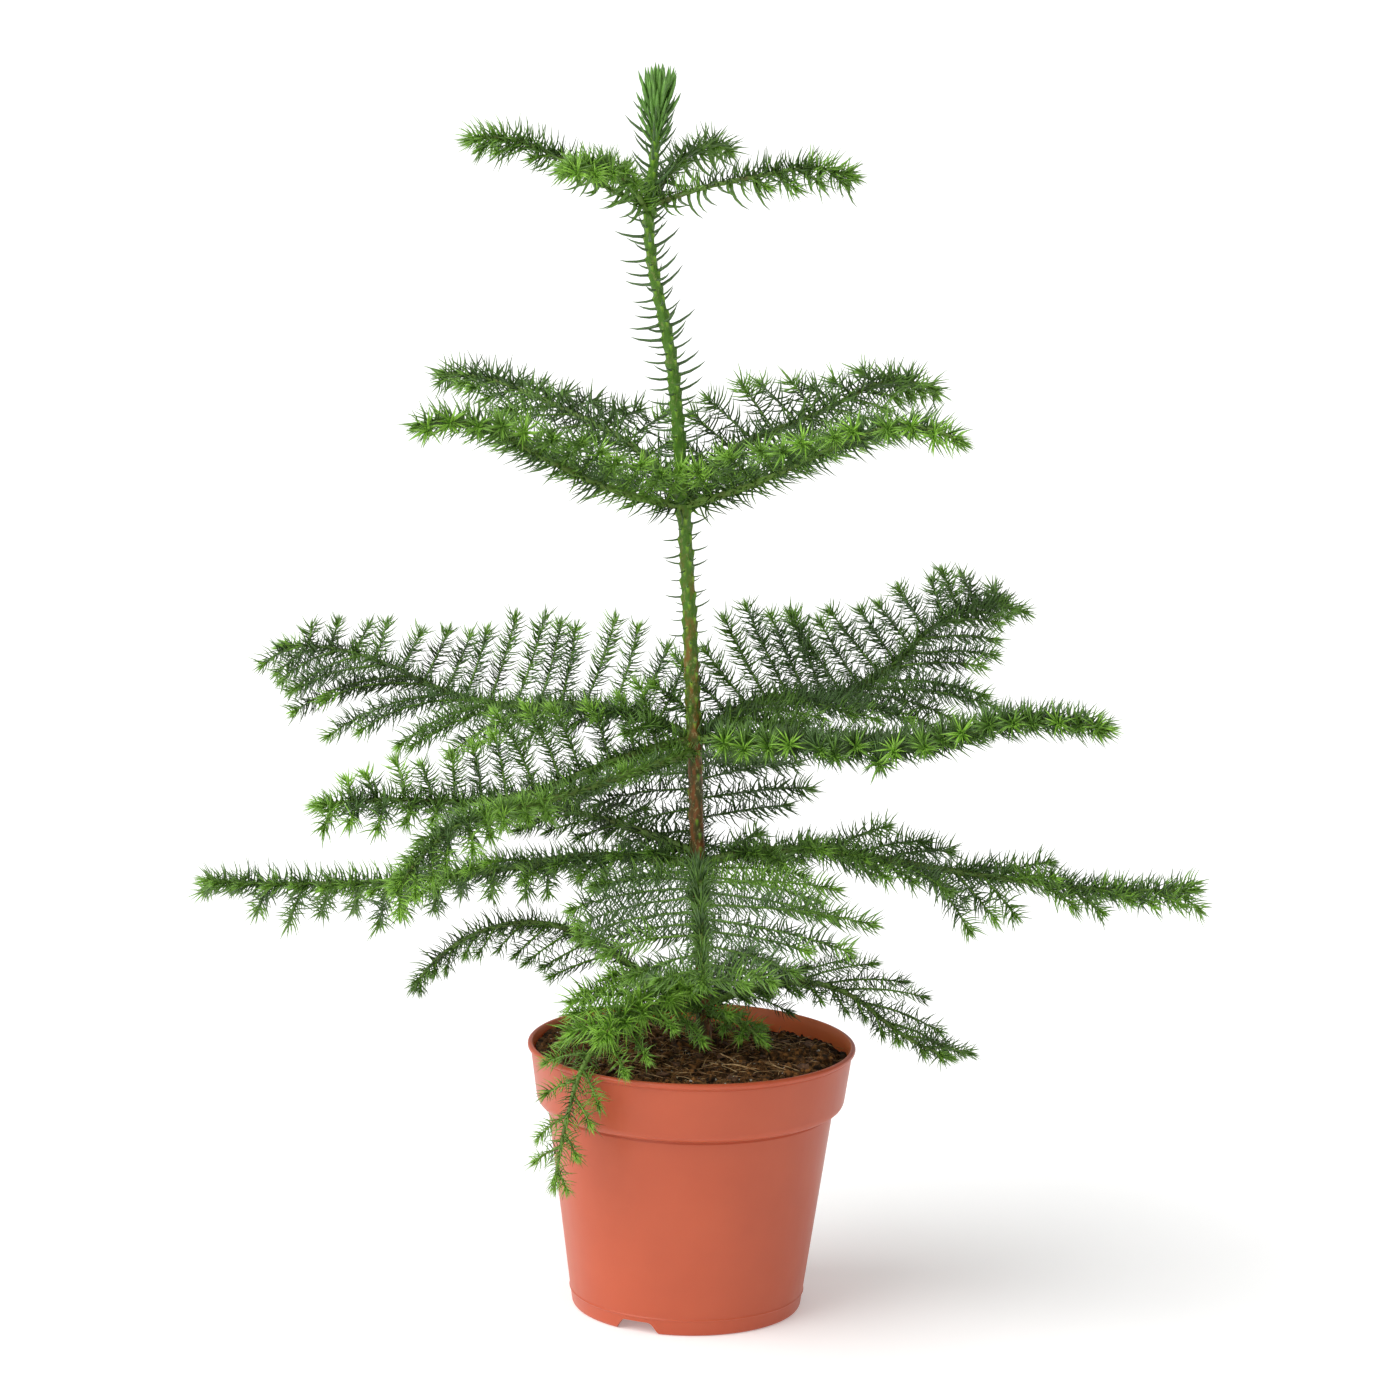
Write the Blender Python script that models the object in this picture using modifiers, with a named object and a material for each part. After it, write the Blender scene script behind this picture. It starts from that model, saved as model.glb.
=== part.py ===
"""Potted Norfolk Island pine: a young indoor tree with five whorls of branches in a plastic pot.

Metres, +Z up. The origin is the middle of the pot's flat underside, +X is the plant's right
and -Y its front. The trunk stands on the soil, each bough is a short limb out of the trunk,
and each mass of foliage is one stem with two rows of toothed needle sprays fused to it.
"""

import math
import random

import bmesh
import bpy
import numpy as np
from mathutils import Vector, noise

MM = 0.001
GAP = 0.3            # clearance kept between touching pieces, mm
SEED = 7

# Pot (mm)
POT_HEIGHT = 123.0
POT_RIM_RADIUS = 75.0
POT_BAND_TOP_RADIUS = 73.3
POT_BAND_FOOT_RADIUS = 70.4
POT_BAND_FOOT = 97.6
POT_BODY_TOP_RADIUS = 65.4
POT_BODY_TOP = 93.7
POT_BASE_RADIUS = 52.6
POT_WALL = 1.3
POT_LINE_HEIGHT = 7.4        # thin raised line round the foot
POT_CHANNEL_HEIGHT = 5.8     # ring-shaped water channel under the floor
POT_PAD_RADIUS = 31.0        # flat middle of the underside
POT_FOOT_WIDTH = 1.8
POT_SIDES = 36
NOTCH_TURNS = (5.0, 125.0, 245.0)
NOTCH_WIDTH = 19.0
NOTCH_HEIGHT = 5.2

# Soil (mm)
SOIL_MIDDLE = 121.0
SOIL_EDGE = 119.9
SOIL_SIDES = 26
SOIL_LUMP = 0.9
SOIL_SEAT_RADIUS = 7.5       # level patch that the trunk stands on

# Trunk (mm): height and sideways lean of its middle line, then height and radius
TRUNK_LINE = ((117.0, 6.0), (140.0, 5.0), (206.0, 1.0), (264.0, -2.0), (370.0, -9.0), (433.0, -15.4),
              (495.0, -27.0), (528.0, -25.0), (565.0, -23.0))
TRUNK_GIRTH = ((121.0, 4.2), (128.0, 3.4), (270.0, 3.2), (370.0, 2.8), (430.0, 2.5),
               (500.0, 2.0), (546.0, 1.4))
TRUNK_FOOT = SOIL_MIDDLE + GAP
TRUNK_TIP = 546.0
LEADER_TIP = 565.0
COLLAR = 0.7                 # swelling of the trunk at each whorl
COLLAR_REACH = 5.0

# Limbs and sprays (mm)
BOUGH_END = 19.0             # a bough runs this far from the trunk's middle line
LEAD = 3.0                   # straight run on both sides of the joint between bough and stem
STEM_TIP_RADIUS = 0.8
TWIG_STEP = 20.5             # spacing of the sprays along one row
SPRAY_HALF_WIDTH = 5.6
SPRAY_CORE = 0.75
SPRAY_THICKNESS = 1.5
SHORTEST_SPRAY = 9.0
TWIG_FADE = 1.3              # how fast the twigs shorten beyond the longest one
NEEDLE_LENGTH = 9.0
LEADER_NEEDLES = 12


def whorl(name, height, girth, branches, **rule):
    """One ring of branches: its height, the bough's radius and the values its branches share."""
    for branch in branches:
        yield dict(rule, **dict(branch, name=f"{name}_{branch['side']}", whorl=name,
                                height=height + branch.get("lift", 0.0), girth=girth))


# A branch: the side it is on, its turn round the trunk from +X (degrees), its length (mm) and its
# climb over the horizontal at even steps from trunk to tip (degrees). "lift" moves it off the whorl's
# height and "bare" is the length of its bough. Its two rows of twigs, left then right seen from
# above, have a reach (mm), a spread from the branch that closes towards the tip, a tilt over its
# plane that falls towards the tip (degrees), and ends that hang. "sizes" gives each row's first
# twig, the place of its longest and its last twig, as shares, and "sag" is how far level twigs bow.
BRANCHES = (
    *whorl("top", 503.0, 1.3, (
        dict(side="left", turn=185, length=93, climb=(19, 33, 19, -24), bare=38.0, reach=(17, 14), tilt=(-58, 5)),
        dict(side="right", turn=-8, length=99, climb=(25, 14, 11, -30), bare=40.0, reach=(14, 17), tilt=(5, -58)),
        dict(side="front", turn=240, length=81, climb=(44, 29, 1, -7), lift=-3.0, bare=22.0,
             reach=(22, 18), tilt=(-12, 5)),
        dict(side="back", turn=55, length=74, climb=(44.5, 30, 10, -42), lift=2.0, bare=22.0,
             reach=(10, 10), tilt=(-20, -20)),
    ), spread=(48, 48), close=(10, 10), fall=(0, 0), hang=(0.0, 0.0), sizes=((0.8, 0.4, 0.8),) * 2),
    *whorl("upper", 370.0, 1.9, (
        dict(side="left_front", turn=222, length=167, climb=(9, 22, 28, -17),
             reach=(36, 30), tilt=(50, 34), fall=(62, 44)),
        dict(side="left_back", turn=138, length=172, climb=(48, 15, 12, -8),
             reach=(33, 35), tilt=(8, 28), spread=(75, 90)),
        dict(side="right_front", turn=-40, length=169, climb=(16, 25, 23, -26),
             reach=(30, 36), tilt=(34, 50), fall=(44, 62)),
        dict(side="right_back", turn=42, length=175, climb=(52, 10, 20, -28),
             reach=(37, 36), tilt=(48, 5), spread=(95, 72)),
    ), spread=(75, 75), close=(20, 20), fall=(40, 40), hang=(0.05, 0.05), sizes=((0.8, 0.4, 0.3),) * 2),
    *whorl("middle", 264.0, 2.1, (
        dict(side="left_back", turn=155, length=224, climb=(23, -10, 21, -11), reach=(66, 54), spread=(80, 100),
             close=(44, 12), tilt=(14, 68), fall=(44, 18), hang=(0.18, 0.02),
             sizes=((0.6, 0.58, 0.25), (0.6, 0.4, 0.27))),
        dict(side="left_front", turn=205, length=189, climb=(-8, -19, 8, -5), reach=(26, 48), spread=(72, 104),
             tilt=(6, 70), fall=(14, 12), hang=(0.22, 0.14), sizes=((0.3, 0.85, 0.7), (0.8, 0.4, 0.25))),
        dict(side="right_back", turn=45, length=225, climb=(27, -9, 34, -12), reach=(56, 66), spread=(103, 76),
             close=(34, 36), tilt=(54, 12), fall=(14, 22), hang=(0.02, 0.12),
             sizes=((0.7, 0.4, 0.36), (0.65, 0.45, 0.27))),
        dict(side="right_front", turn=-25, length=206, climb=(4, 1, 22, -11), reach=(38, 36), spread=(68, 78),
             tilt=(20, 10), fall=(14, 0)),
        dict(side="front", turn=235, length=225, climb=(-4, -3, 2, -46), lift=-5.5, bare=116.0, reach=(27, 22),
             spread=(54, 54), tilt=(0, 0), hang=(0.15, 0.15), sizes=((0.6, 0.6, 0.5),) * 2),
    ), close=(20, 20), fall=(10, 10), hang=(0.06, 0.06), sizes=((0.8, 0.4, 0.3),) * 2),
    *whorl("lower", 206.0, 2.2, (
        dict(side="left", turn=182, length=229, climb=(11, -12, -3, 3), reach=(34, 36), spread=(62, 100),
             close=(20, 26), tilt=(26, -36), fall=(14, -6), hang=(0.06, 0.12),
             sizes=((0.8, 0.3, 0.35), (0.5, 0.75, 0.62))),
        dict(side="right", turn=-5, length=232, climb=(20, -9, -5, 5), reach=(42, 38), spread=(52, 64),
             close=(28, 28), tilt=(12, -14), fall=(4, 0), sizes=((0.75, 0.3, 0.5),) * 2),
        dict(side="front", turn=271, length=185, climb=(5, -2, -6, -15), reach=(77, 66), spread=(93, 93),
             close=(14, 14), tilt=(1, 1), fall=(4, 4), hang=(0.05, 0.10), sag=0.04, sizes=((0.78, 0.5, 0.3),) * 2),
        dict(side="back", turn=93, length=112, climb=(26, 30, 12, 0), lift=-2.5, reach=(54, 62), spread=(90, 84),
             tilt=(-8, -4), fall=(0, 0), hang=(0.16, 0.10), sag=0.0, sizes=((0.7, 0.5, 0.7),) * 2),
        dict(side="back_left", turn=140, length=125, climb=(12, 6, 0, -14), lift=4.5, bare=46.0,
             reach=(36, 34), spread=(75, 85), tilt=(0, 10)),
    ), close=(20, 20), fall=(8, 8), hang=(0.06, 0.06), sizes=((0.85, 0.3, 0.3),) * 2),
    *whorl("base", 140.0, 1.9, (
        dict(side="left", turn=175, length=160, climb=(24, 34, -19, -65), reach=(34, 28), spread=(65, 70),
             tilt=(-40, -10), sizes=((0.5, 0.3, 0.27),) * 2),
        dict(side="right", turn=-20, length=131, climb=(29, 12, -38, -10), reach=(48, 27), spread=(48, 60),
             close=(8, 20), tilt=(13, 0), fall=(-8, 10), sizes=((0.7, 0.45, 0.5), (0.8, 0.3, 0.3))),
        dict(side="hanging", turn=229, length=148, climb=(18, -4, -68, -82), lift=-2.0,
             reach=(46, 32), spread=(76, 82), close=(26, 26), tilt=(4, 0), fall=(0, 0),
             sizes=((0.85, 0.24, 0.25), (0.8, 0.3, 0.6))),
        dict(side="front", turn=237, length=95, climb=(36, 2, -20, -26), lift=5.0,
             reach=(22, 44), spread=(60, 84), tilt=(4, 6), sizes=((0.8, 0.3, 0.3), (0.9, 0.3, 0.4))),
        dict(side="back", turn=75, length=95, climb=(5, 5, 5, 0),
             reach=(34, 40), spread=(85, 85), tilt=(0, 0)),
        dict(side="small", turn=312, length=48, climb=(15, 0, -20, -30), lift=-4.0,
             reach=(18, 18), spread=(70, 70), tilt=(0, 0)),
    ), close=(20, 20), fall=(10, 10), hang=(0.06, 0.06), sizes=((0.8, 0.3, 0.3),) * 2),
)


# ---------------------------------------------------------------- scene and materials

def clear_scene():
    for thing in list(bpy.data.objects):
        bpy.data.objects.remove(thing, do_unlink=True)


def collection(name):
    made = bpy.data.collections.new(name)
    bpy.context.scene.collection.children.link(made)
    return made


def material(name, colour, roughness):
    made = bpy.data.materials.new(name)
    made.use_nodes = True
    shader = made.node_tree.nodes["Principled BSDF"]
    shader.inputs["Base Color"].default_value = (*colour, 1.0)
    shader.inputs["Roughness"].default_value = roughness
    shader.inputs["Metallic"].default_value = 0.0
    return made


def add_object(name, data, group, finish=None):
    made = bpy.data.objects.new(name, data)
    group.objects.link(made)
    if finish:
        made.data.materials.append(finish)
    return made


def applied(thing):
    """The object's evaluated mesh, which takes the object's place with its modifiers gone."""
    bpy.context.view_layer.update()
    graph = bpy.context.evaluated_depsgraph_get()
    mesh = bpy.data.meshes.new_from_object(thing.evaluated_get(graph))
    mesh.transform(thing.matrix_world)
    return mesh


# ---------------------------------------------------------------- trunk line and branch rule

def along(stations, height):
    """Value at a height, eased between (height, value) stations."""
    heights, values = zip(*stations)
    place = int(np.clip(np.searchsorted(heights, height) - 1, 0, len(heights) - 2))
    low, high = heights[place], heights[place + 1]
    share = float(np.clip((height - low) / (high - low), 0.0, 1.0))
    slopes = np.gradient(np.array(values), np.array(heights))
    bend_low, bend_high = slopes[place] * (high - low), slopes[place + 1] * (high - low)
    square, cube = share ** 2, share ** 3
    return ((2 * cube - 3 * square + 1) * values[place] + (cube - 2 * square + share) * bend_low
            + (3 * square - 2 * cube) * values[place + 1] + (cube - square) * bend_high)


def trunk_point(height):
    return np.array([along(TRUNK_LINE, height), 0.0, height])


def trunk_radius(height):
    radius = float(np.interp(height, *zip(*TRUNK_GIRTH)))
    whorls = {branch["height"] - branch.get("lift", 0.0) for branch in BRANCHES}
    swelling = max(math.exp(-((height - level) / COLLAR_REACH) ** 2) for level in whorls)
    return radius + COLLAR * swelling


class Limb:
    """A branch's middle line: points and directions at even steps from the trunk's middle."""

    def __init__(self, branch, count=48):
        share = np.linspace(0.0, 1.0, count)
        climb = np.radians(np.interp(share, np.linspace(0, 1, len(branch["climb"])), branch["climb"]))
        turn = math.radians(branch["turn"])
        self.turn = turn
        self.heading = np.stack([np.cos(climb) * math.cos(turn), np.cos(climb) * math.sin(turn),
                                 np.sin(climb)], axis=1)
        step = branch["length"] / (count - 1)
        moves = (self.heading[1:] + self.heading[:-1]) / 2 * step
        self.points = trunk_point(branch["height"]) + np.vstack([np.zeros(3), np.cumsum(moves, axis=0)])
        self.distance = share * branch["length"]

    def at(self, distance):
        point = np.array([np.interp(distance, self.distance, self.points[:, k]) for k in range(3)])
        heading = np.array([np.interp(distance, self.distance, self.heading[:, k]) for k in range(3)])
        return point, heading / np.linalg.norm(heading)


def twig_share(sizes, place):
    """Length of a twig at a share of the leafy stretch, as a share of the row's longest."""
    first, peak, last = sizes
    if place < peak:
        return first + (1 - first) * math.sin(place / peak * math.pi / 2)
    return last + (1 - last) * (1 - (place - peak) / (1 - peak)) ** TWIG_FADE


class Twig:
    """A side shoot: it leaves its root along start, sweeps forward and sags, and its end may hang."""

    def __init__(self, root, start, heading, length, sag=0.0, hang=0.0):
        self.root, self.start, self.heading, self.length = root, start, heading, length
        self.sag, self.hang = sag, hang

    def points(self, count):
        share = np.linspace(0.0, 1.0, count)[:, None]
        down = np.array([0.0, 0.0, -1.0])
        sweep = self.heading * 0.10 + down * self.sag * math.hypot(self.start[0], self.start[1]) ** 2
        return self.root + self.length * (self.start * share + sweep * share ** 2 + down * self.hang * share ** 3)


def twigs_of(branch, limb):
    """Every twig of a branch: the two rows in turn, and the branch's own end."""
    first = branch.get("bare", BOUGH_END) + 4.0
    count = int((branch["length"] - 5.0 - first) / (TWIG_STEP / 2)) + 1
    side = np.array([-math.sin(limb.turn), math.cos(limb.turn), 0.0])
    for number in range(count):
        distance = first + number * TWIG_STEP / 2
        place = (distance - first) / (branch["length"] - first)
        row = number % 2
        root, heading = limb.at(distance)
        above = np.cross(heading, side)
        tilt = math.radians(branch["tilt"][row] - branch["fall"][row] * place)
        spread = math.radians(branch["spread"][row] - branch["close"][row] * place)
        outward = math.cos(tilt) * side * (1 if row == 0 else -1) + math.sin(tilt) * above
        start = math.cos(spread) * heading + math.sin(spread) * outward
        length = branch["reach"][row] * twig_share(branch["sizes"][row], place)
        yield Twig(root, start, heading, length, branch.get("sag", 0.10), branch["hang"][row])
    root, heading = limb.at(branch["length"] - 6.0)
    yield Twig(root, heading, heading, 6.0 + NEEDLE_LENGTH * 0.6)


# ---------------------------------------------------------------- room between the pieces

def pot_radius(height):
    """Outer radius of the pot at a height."""
    heights = (0.0, POT_BODY_TOP, POT_BAND_FOOT, POT_HEIGHT)
    radii = (POT_BASE_RADIUS, POT_BODY_TOP_RADIUS, POT_BAND_FOOT_RADIUS + 1.0, POT_RIM_RADIUS)
    return float(np.interp(height, heights, radii))


def clear_of_pot(points, room):
    for x, y, z in points:
        out = math.hypot(x, y)
        level = SOIL_MIDDLE + 1.0 if out < POT_BODY_TOP_RADIUS - room else POT_HEIGHT
        if z < level + room and out < pot_radius(z) + room:
            return False
    return True


class Room:
    """Capsules round the pieces placed so far, so that pieces of other nodes keep clear."""

    def __init__(self):
        self.owners, self.starts, self.ends, self.radii = [], [], [], []

    def add(self, owner, points, radius):
        for start, end in zip(points[:-1], points[1:]):
            self.owners.append(owner)
            self.starts.append(start)
            self.ends.append(end)
            self.radii.append(radius)

    def clear(self, owner, points, radius):
        others = [k for k, name in enumerate(self.owners) if name != owner]
        if not others:
            return True
        start = np.array(self.starts)[others]
        run = np.array(self.ends)[others] - start
        radii = np.array(self.radii)[others]
        for point in points:
            share = np.clip(((point - start) * run).sum(1) / (run ** 2).sum(1), 0, 1)
            reach = np.linalg.norm(start + run * share[:, None] - point, axis=1)
            if (reach < radii + radius + GAP).any():
                return False
        return True


# ---------------------------------------------------------------- meshes

def tube(name, points, radii, group, sides=6):
    """A tapering limb with flat ends, as a closed mesh: a curve with a bevel, welded."""
    curve = bpy.data.curves.new(name, "CURVE")
    curve.dimensions = "3D"
    curve.bevel_depth = MM
    curve.bevel_resolution = sides // 2 - 2
    curve.use_fill_caps = True
    spline = curve.splines.new("POLY")
    spline.points.add(len(points) - 1)
    for knot, point, radius in zip(spline.points, points, radii):
        knot.co = (*(np.asarray(point) * MM), 1.0)
        knot.radius = radius
    rail = add_object(name + "_rail", curve, group)
    mesh = applied(rail)
    bpy.data.objects.remove(rail, do_unlink=True)
    shape = bmesh.new()
    shape.from_mesh(mesh)
    bmesh.ops.remove_doubles(shape, verts=shape.verts, dist=0.00001)
    bmesh.ops.recalc_face_normals(shape, faces=shape.faces)
    shape.to_mesh(mesh)
    shape.free()
    return mesh


def toothed_spray(line, lateral, pairs):
    """A spray of needles as one three-sided blade: a ridge, and a forward tooth for each needle.

    line holds pairs + 2 points, the last one the tip. Each station has a ridge above and a
    left and right edge below, and between two stations a tooth stands out on each side.
    """
    shape = bmesh.new()
    stations = []
    for number, point in enumerate(line[:-1]):
        ahead = line[number + 1] - point
        ahead /= np.linalg.norm(ahead)
        across = lateral - ahead * np.dot(lateral, ahead)
        across /= np.linalg.norm(across)
        above = np.cross(across, ahead)
        taper = 1.0 - 0.35 * number / (len(line) - 1)
        corners = (point + above * SPRAY_THICKNESS * 0.6 * taper,
                   point + across * SPRAY_CORE * taper - above * SPRAY_THICKNESS * 0.4 * taper,
                   point - across * SPRAY_CORE * taper - above * SPRAY_THICKNESS * 0.4 * taper)
        stations.append(([shape.verts.new(corner * MM) for corner in corners], ahead, across))
    shape.faces.new(stations[0][0][::-1])
    for number in range(pairs):
        (top, left, right), ahead, across = stations[number]
        (next_top, next_left, next_right), _, _ = stations[number + 1]
        run = np.linalg.norm(line[number + 1] - line[number])
        reach = min(SPRAY_HALF_WIDTH, 0.55 * run + 1.5)
        forward = line[number] + ahead * (run + 1.2)
        left_tip = shape.verts.new((forward + across * reach) * MM)
        right_tip = shape.verts.new((forward - across * reach) * MM)
        for faces in ((top, next_top, left_tip), (next_top, next_left, left_tip), (left, top, left_tip),
                      (next_top, top, right_tip), (next_right, next_top, right_tip), (top, right, right_tip),
                      (left, left_tip, next_left), (right, next_right, right_tip),
                      (left, next_left, next_right), (left, next_right, right)):
            shape.faces.new(faces)
    (top, left, right), _, _ = stations[-1]
    tip = shape.verts.new(line[-1] * MM)
    for faces in ((top, tip, left), (right, tip, top), (left, tip, right)):
        shape.faces.new(faces)
    bmesh.ops.recalc_face_normals(shape, faces=shape.faces)
    mesh = bpy.data.meshes.new("spray")
    shape.to_mesh(mesh)
    shape.free()
    return mesh


def needle(root, tip, radius):
    """One broad needle: a slim three-sided spike whose root is sunk in what carries it."""
    shape = bmesh.new()
    ahead = Vector(tip - root).normalized()
    bmesh.ops.create_cone(shape, cap_ends=True, segments=3, radius1=radius * MM, radius2=0.0,
                          depth=float(np.linalg.norm(tip - root)) * MM)
    bmesh.ops.rotate(shape, verts=shape.verts, cent=(0, 0, 0),
                     matrix=Vector((0, 0, 1)).rotation_difference(ahead).to_matrix())
    bmesh.ops.translate(shape, verts=shape.verts, vec=Vector((root + tip) / 2) * MM)
    mesh = bpy.data.meshes.new("needle")
    shape.to_mesh(mesh)
    shape.free()
    return mesh


def fused(name, body, pieces, group, finish):
    """One solid: the body and every piece, joined by a single Boolean union, then applied."""
    rough = add_object(name + "_rough", body, group)
    parts = collection(name + "_parts")
    for number, mesh in enumerate(pieces):
        add_object(f"{name}_part_{number}", mesh, parts)
    union = rough.modifiers.new("union", "BOOLEAN")
    union.operation = "UNION"
    union.operand_type = "COLLECTION"
    union.collection = parts
    union.solver = "MANIFOLD"
    mesh = applied(rough)
    shape = bmesh.new()
    shape.from_mesh(mesh)
    bmesh.ops.dissolve_limit(shape, angle_limit=0.01, verts=shape.verts, edges=shape.edges)
    bmesh.ops.triangulate(shape, faces=shape.faces)
    shape.to_mesh(mesh)
    shape.free()
    for thing in list(parts.objects) + [rough]:
        bpy.data.objects.remove(thing, do_unlink=True)
    bpy.data.collections.remove(parts)
    mesh.materials.clear()
    mesh.name = name
    return add_object(name, mesh, group, finish)


# ---------------------------------------------------------------- pot and soil

def turned(name, profile, sides, group, finish):
    """A closed profile of (radius, height) in mm turned round Z: outer side first, top to bottom.

    Its two points on the axis stay unjoined, so the turned skin closes there.
    """
    mesh = bpy.data.meshes.new(name)
    count = len(profile)
    edges = [(k, (k + 1) % count) for k in range(count) if profile[k][0] or profile[(k + 1) % count][0]]
    mesh.from_pydata([(radius * MM, 0.0, height * MM) for radius, height in profile], edges, [])
    made = add_object(name, mesh, group, finish)
    screw = made.modifiers.new("turn", "SCREW")
    screw.steps = screw.render_steps = sides
    screw.use_merge_vertices = True
    screw.merge_threshold = 0.00001
    return made


def pot_profile():
    rim, top = POT_RIM_RADIUS, POT_HEIGHT
    line = POT_LINE_HEIGHT
    foot_inner = POT_BASE_RADIUS - POT_FOOT_WIDTH
    floor = POT_CHANNEL_HEIGHT + POT_WALL
    outer = [
        (rim - 0.8, top), (rim, top - 1.4), (POT_BAND_TOP_RADIUS, top - 4.6),
        (POT_BAND_FOOT_RADIUS, POT_BAND_FOOT), (POT_BAND_FOOT_RADIUS - 1.1, POT_BAND_FOOT - 2.2),
        (POT_BODY_TOP_RADIUS, POT_BODY_TOP),
        (POT_BASE_RADIUS + 1.0, line + 1.0), (POT_BASE_RADIUS + 1.4, line), (POT_BASE_RADIUS + 0.8, line - 1.0),
        (POT_BASE_RADIUS, 1.4), (POT_BASE_RADIUS - 0.5, 0.0), (foot_inner, 0.0),
        (foot_inner, POT_CHANNEL_HEIGHT), (POT_PAD_RADIUS + 2.0, POT_CHANNEL_HEIGHT), (POT_PAD_RADIUS, 0.0),
        (0.0, 0.0),
    ]
    inner = [
        (0.0, POT_WALL), (POT_PAD_RADIUS - 0.9, POT_WALL), (POT_PAD_RADIUS + 1.1, floor),
        (POT_BASE_RADIUS + 0.9 - POT_WALL, floor), (POT_BODY_TOP_RADIUS - POT_WALL, POT_BODY_TOP),
        (POT_BAND_FOOT_RADIUS - POT_WALL, POT_BAND_FOOT + 1.0),
        (POT_BAND_TOP_RADIUS - POT_WALL, top - 3.0), (rim - 2.2, top),
    ]
    return outer + inner


def build_pot(group, cutters):
    plastic = material("terracotta_plastic", (0.52, 0.17, 0.10), 0.45)
    pot = turned("pot", pot_profile(), POT_SIDES, group, plastic)
    for turn in NOTCH_TURNS:
        shape = bmesh.new()
        bmesh.ops.create_cube(shape, size=1.0)
        for corner in shape.verts:
            corner.co.x *= 8.0 * MM
            corner.co.y *= NOTCH_WIDTH * MM
            corner.co.z *= 2 * NOTCH_HEIGHT * MM
        mesh = bpy.data.meshes.new("notch")
        shape.to_mesh(mesh)
        shape.free()
        cutter = add_object(f"notch_{turn:.0f}", mesh, cutters)
        angle = math.radians(turn)
        cutter.location = (POT_BASE_RADIUS * math.cos(angle) * MM, POT_BASE_RADIUS * math.sin(angle) * MM, 0)
        cutter.rotation_euler = (0, 0, angle)
        cutter.hide_render = True
        cutter.display_type = "WIRE"
        cut = pot.modifiers.new("notch", "BOOLEAN")
        cut.operation = "DIFFERENCE"
        cut.object = cutter
    return pot


def build_soil(group):
    """The filled root ball: it follows the pot's inner wall, with a lumpy top round a level seat."""
    wall, gap = POT_WALL, GAP
    floor = POT_CHANNEL_HEIGHT + wall + gap
    side = [
        (POT_BAND_TOP_RADIUS - wall - 0.6, SOIL_EDGE), (POT_BAND_FOOT_RADIUS - wall - 0.5, POT_BAND_FOOT + 2.0),
        (POT_BODY_TOP_RADIUS - wall - 0.6, POT_BODY_TOP - 0.5),
        (POT_BASE_RADIUS - wall + 0.2, floor), (POT_PAD_RADIUS + 0.6, floor), (POT_PAD_RADIUS - 1.6, wall + gap),
        (0.0, wall + gap),
    ]
    rings = (58.0, 40.0, 22.0, SOIL_SEAT_RADIUS)
    top = [(0.0, SOIL_MIDDLE)]
    for radius in rings[::-1]:
        fall = (radius / side[0][0]) ** 2 * (SOIL_MIDDLE - SOIL_EDGE)
        top.append((radius, SOIL_MIDDLE if radius == SOIL_SEAT_RADIUS else SOIL_MIDDLE - fall))
    earth = material("potting_soil", (0.09, 0.055, 0.035), 0.95)
    rough = turned("soil_rough", side + top, SOIL_SIDES, group, None)
    mesh = applied(rough)
    bpy.data.objects.remove(rough, do_unlink=True)
    seat = along(TRUNK_LINE, SOIL_MIDDLE) * MM
    for vertex in mesh.vertices:
        place = vertex.co
        out = math.hypot(place.x - seat, place.y)
        if place.z > (SOIL_EDGE + 0.2) * MM and out > (SOIL_SEAT_RADIUS + 7.0) * MM:
            place.z += noise.noise(Vector(place) * 70.0) * SOIL_LUMP * MM
        elif place.z > (SOIL_EDGE + 0.2) * MM:
            place.z = SOIL_MIDDLE * MM
    mesh.name = "soil"
    return add_object("soil", mesh, group, earth)


# ---------------------------------------------------------------- trunk, boughs and foliage

def sampled_line(limb, start, end, spacing):
    count = max(2, int(round((end - start) / spacing)) + 1)
    return [limb.at(distance)[0] for distance in np.linspace(start, end, count)]


def nearest_on(line, point):
    """The point of a limb's middle line that is nearest to the given one."""
    best = None
    for start, end in zip(line[:-1], line[1:]):
        run = end - start
        spot = start + run * float(np.clip(np.dot(point - start, run) / np.dot(run, run), 0.0, 1.0))
        if best is None or np.linalg.norm(spot - point) < np.linalg.norm(best - point):
            best = spot
    return best


def limb_radius(branch, distance):
    """Radius of a branch's wood: a slight taper on the bough, then down to the stem's tip."""
    share = distance / branch["length"]
    return branch["girth"] + (STEM_TIP_RADIUS - branch["girth"]) * share


def bough_start(branch, limb):
    """Distance from the trunk's middle at which the bough's flat end just clears the bark."""
    distance = trunk_radius(branch["height"])
    while True:
        point, heading = limb.at(distance)
        across = np.cross(heading, [0.0, 0.0, 1.0])
        across /= np.linalg.norm(across)
        above = np.cross(across, heading)
        turns = np.linspace(0.0, math.tau, 12, endpoint=False)
        rim = [point + branch["girth"] * (across * math.cos(a) + above * math.sin(a)) for a in turns]
        if min(math.hypot(x - along(TRUNK_LINE, z), y) - trunk_radius(z) for x, y, z in rim) >= GAP:
            return distance
        distance += 0.1


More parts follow.
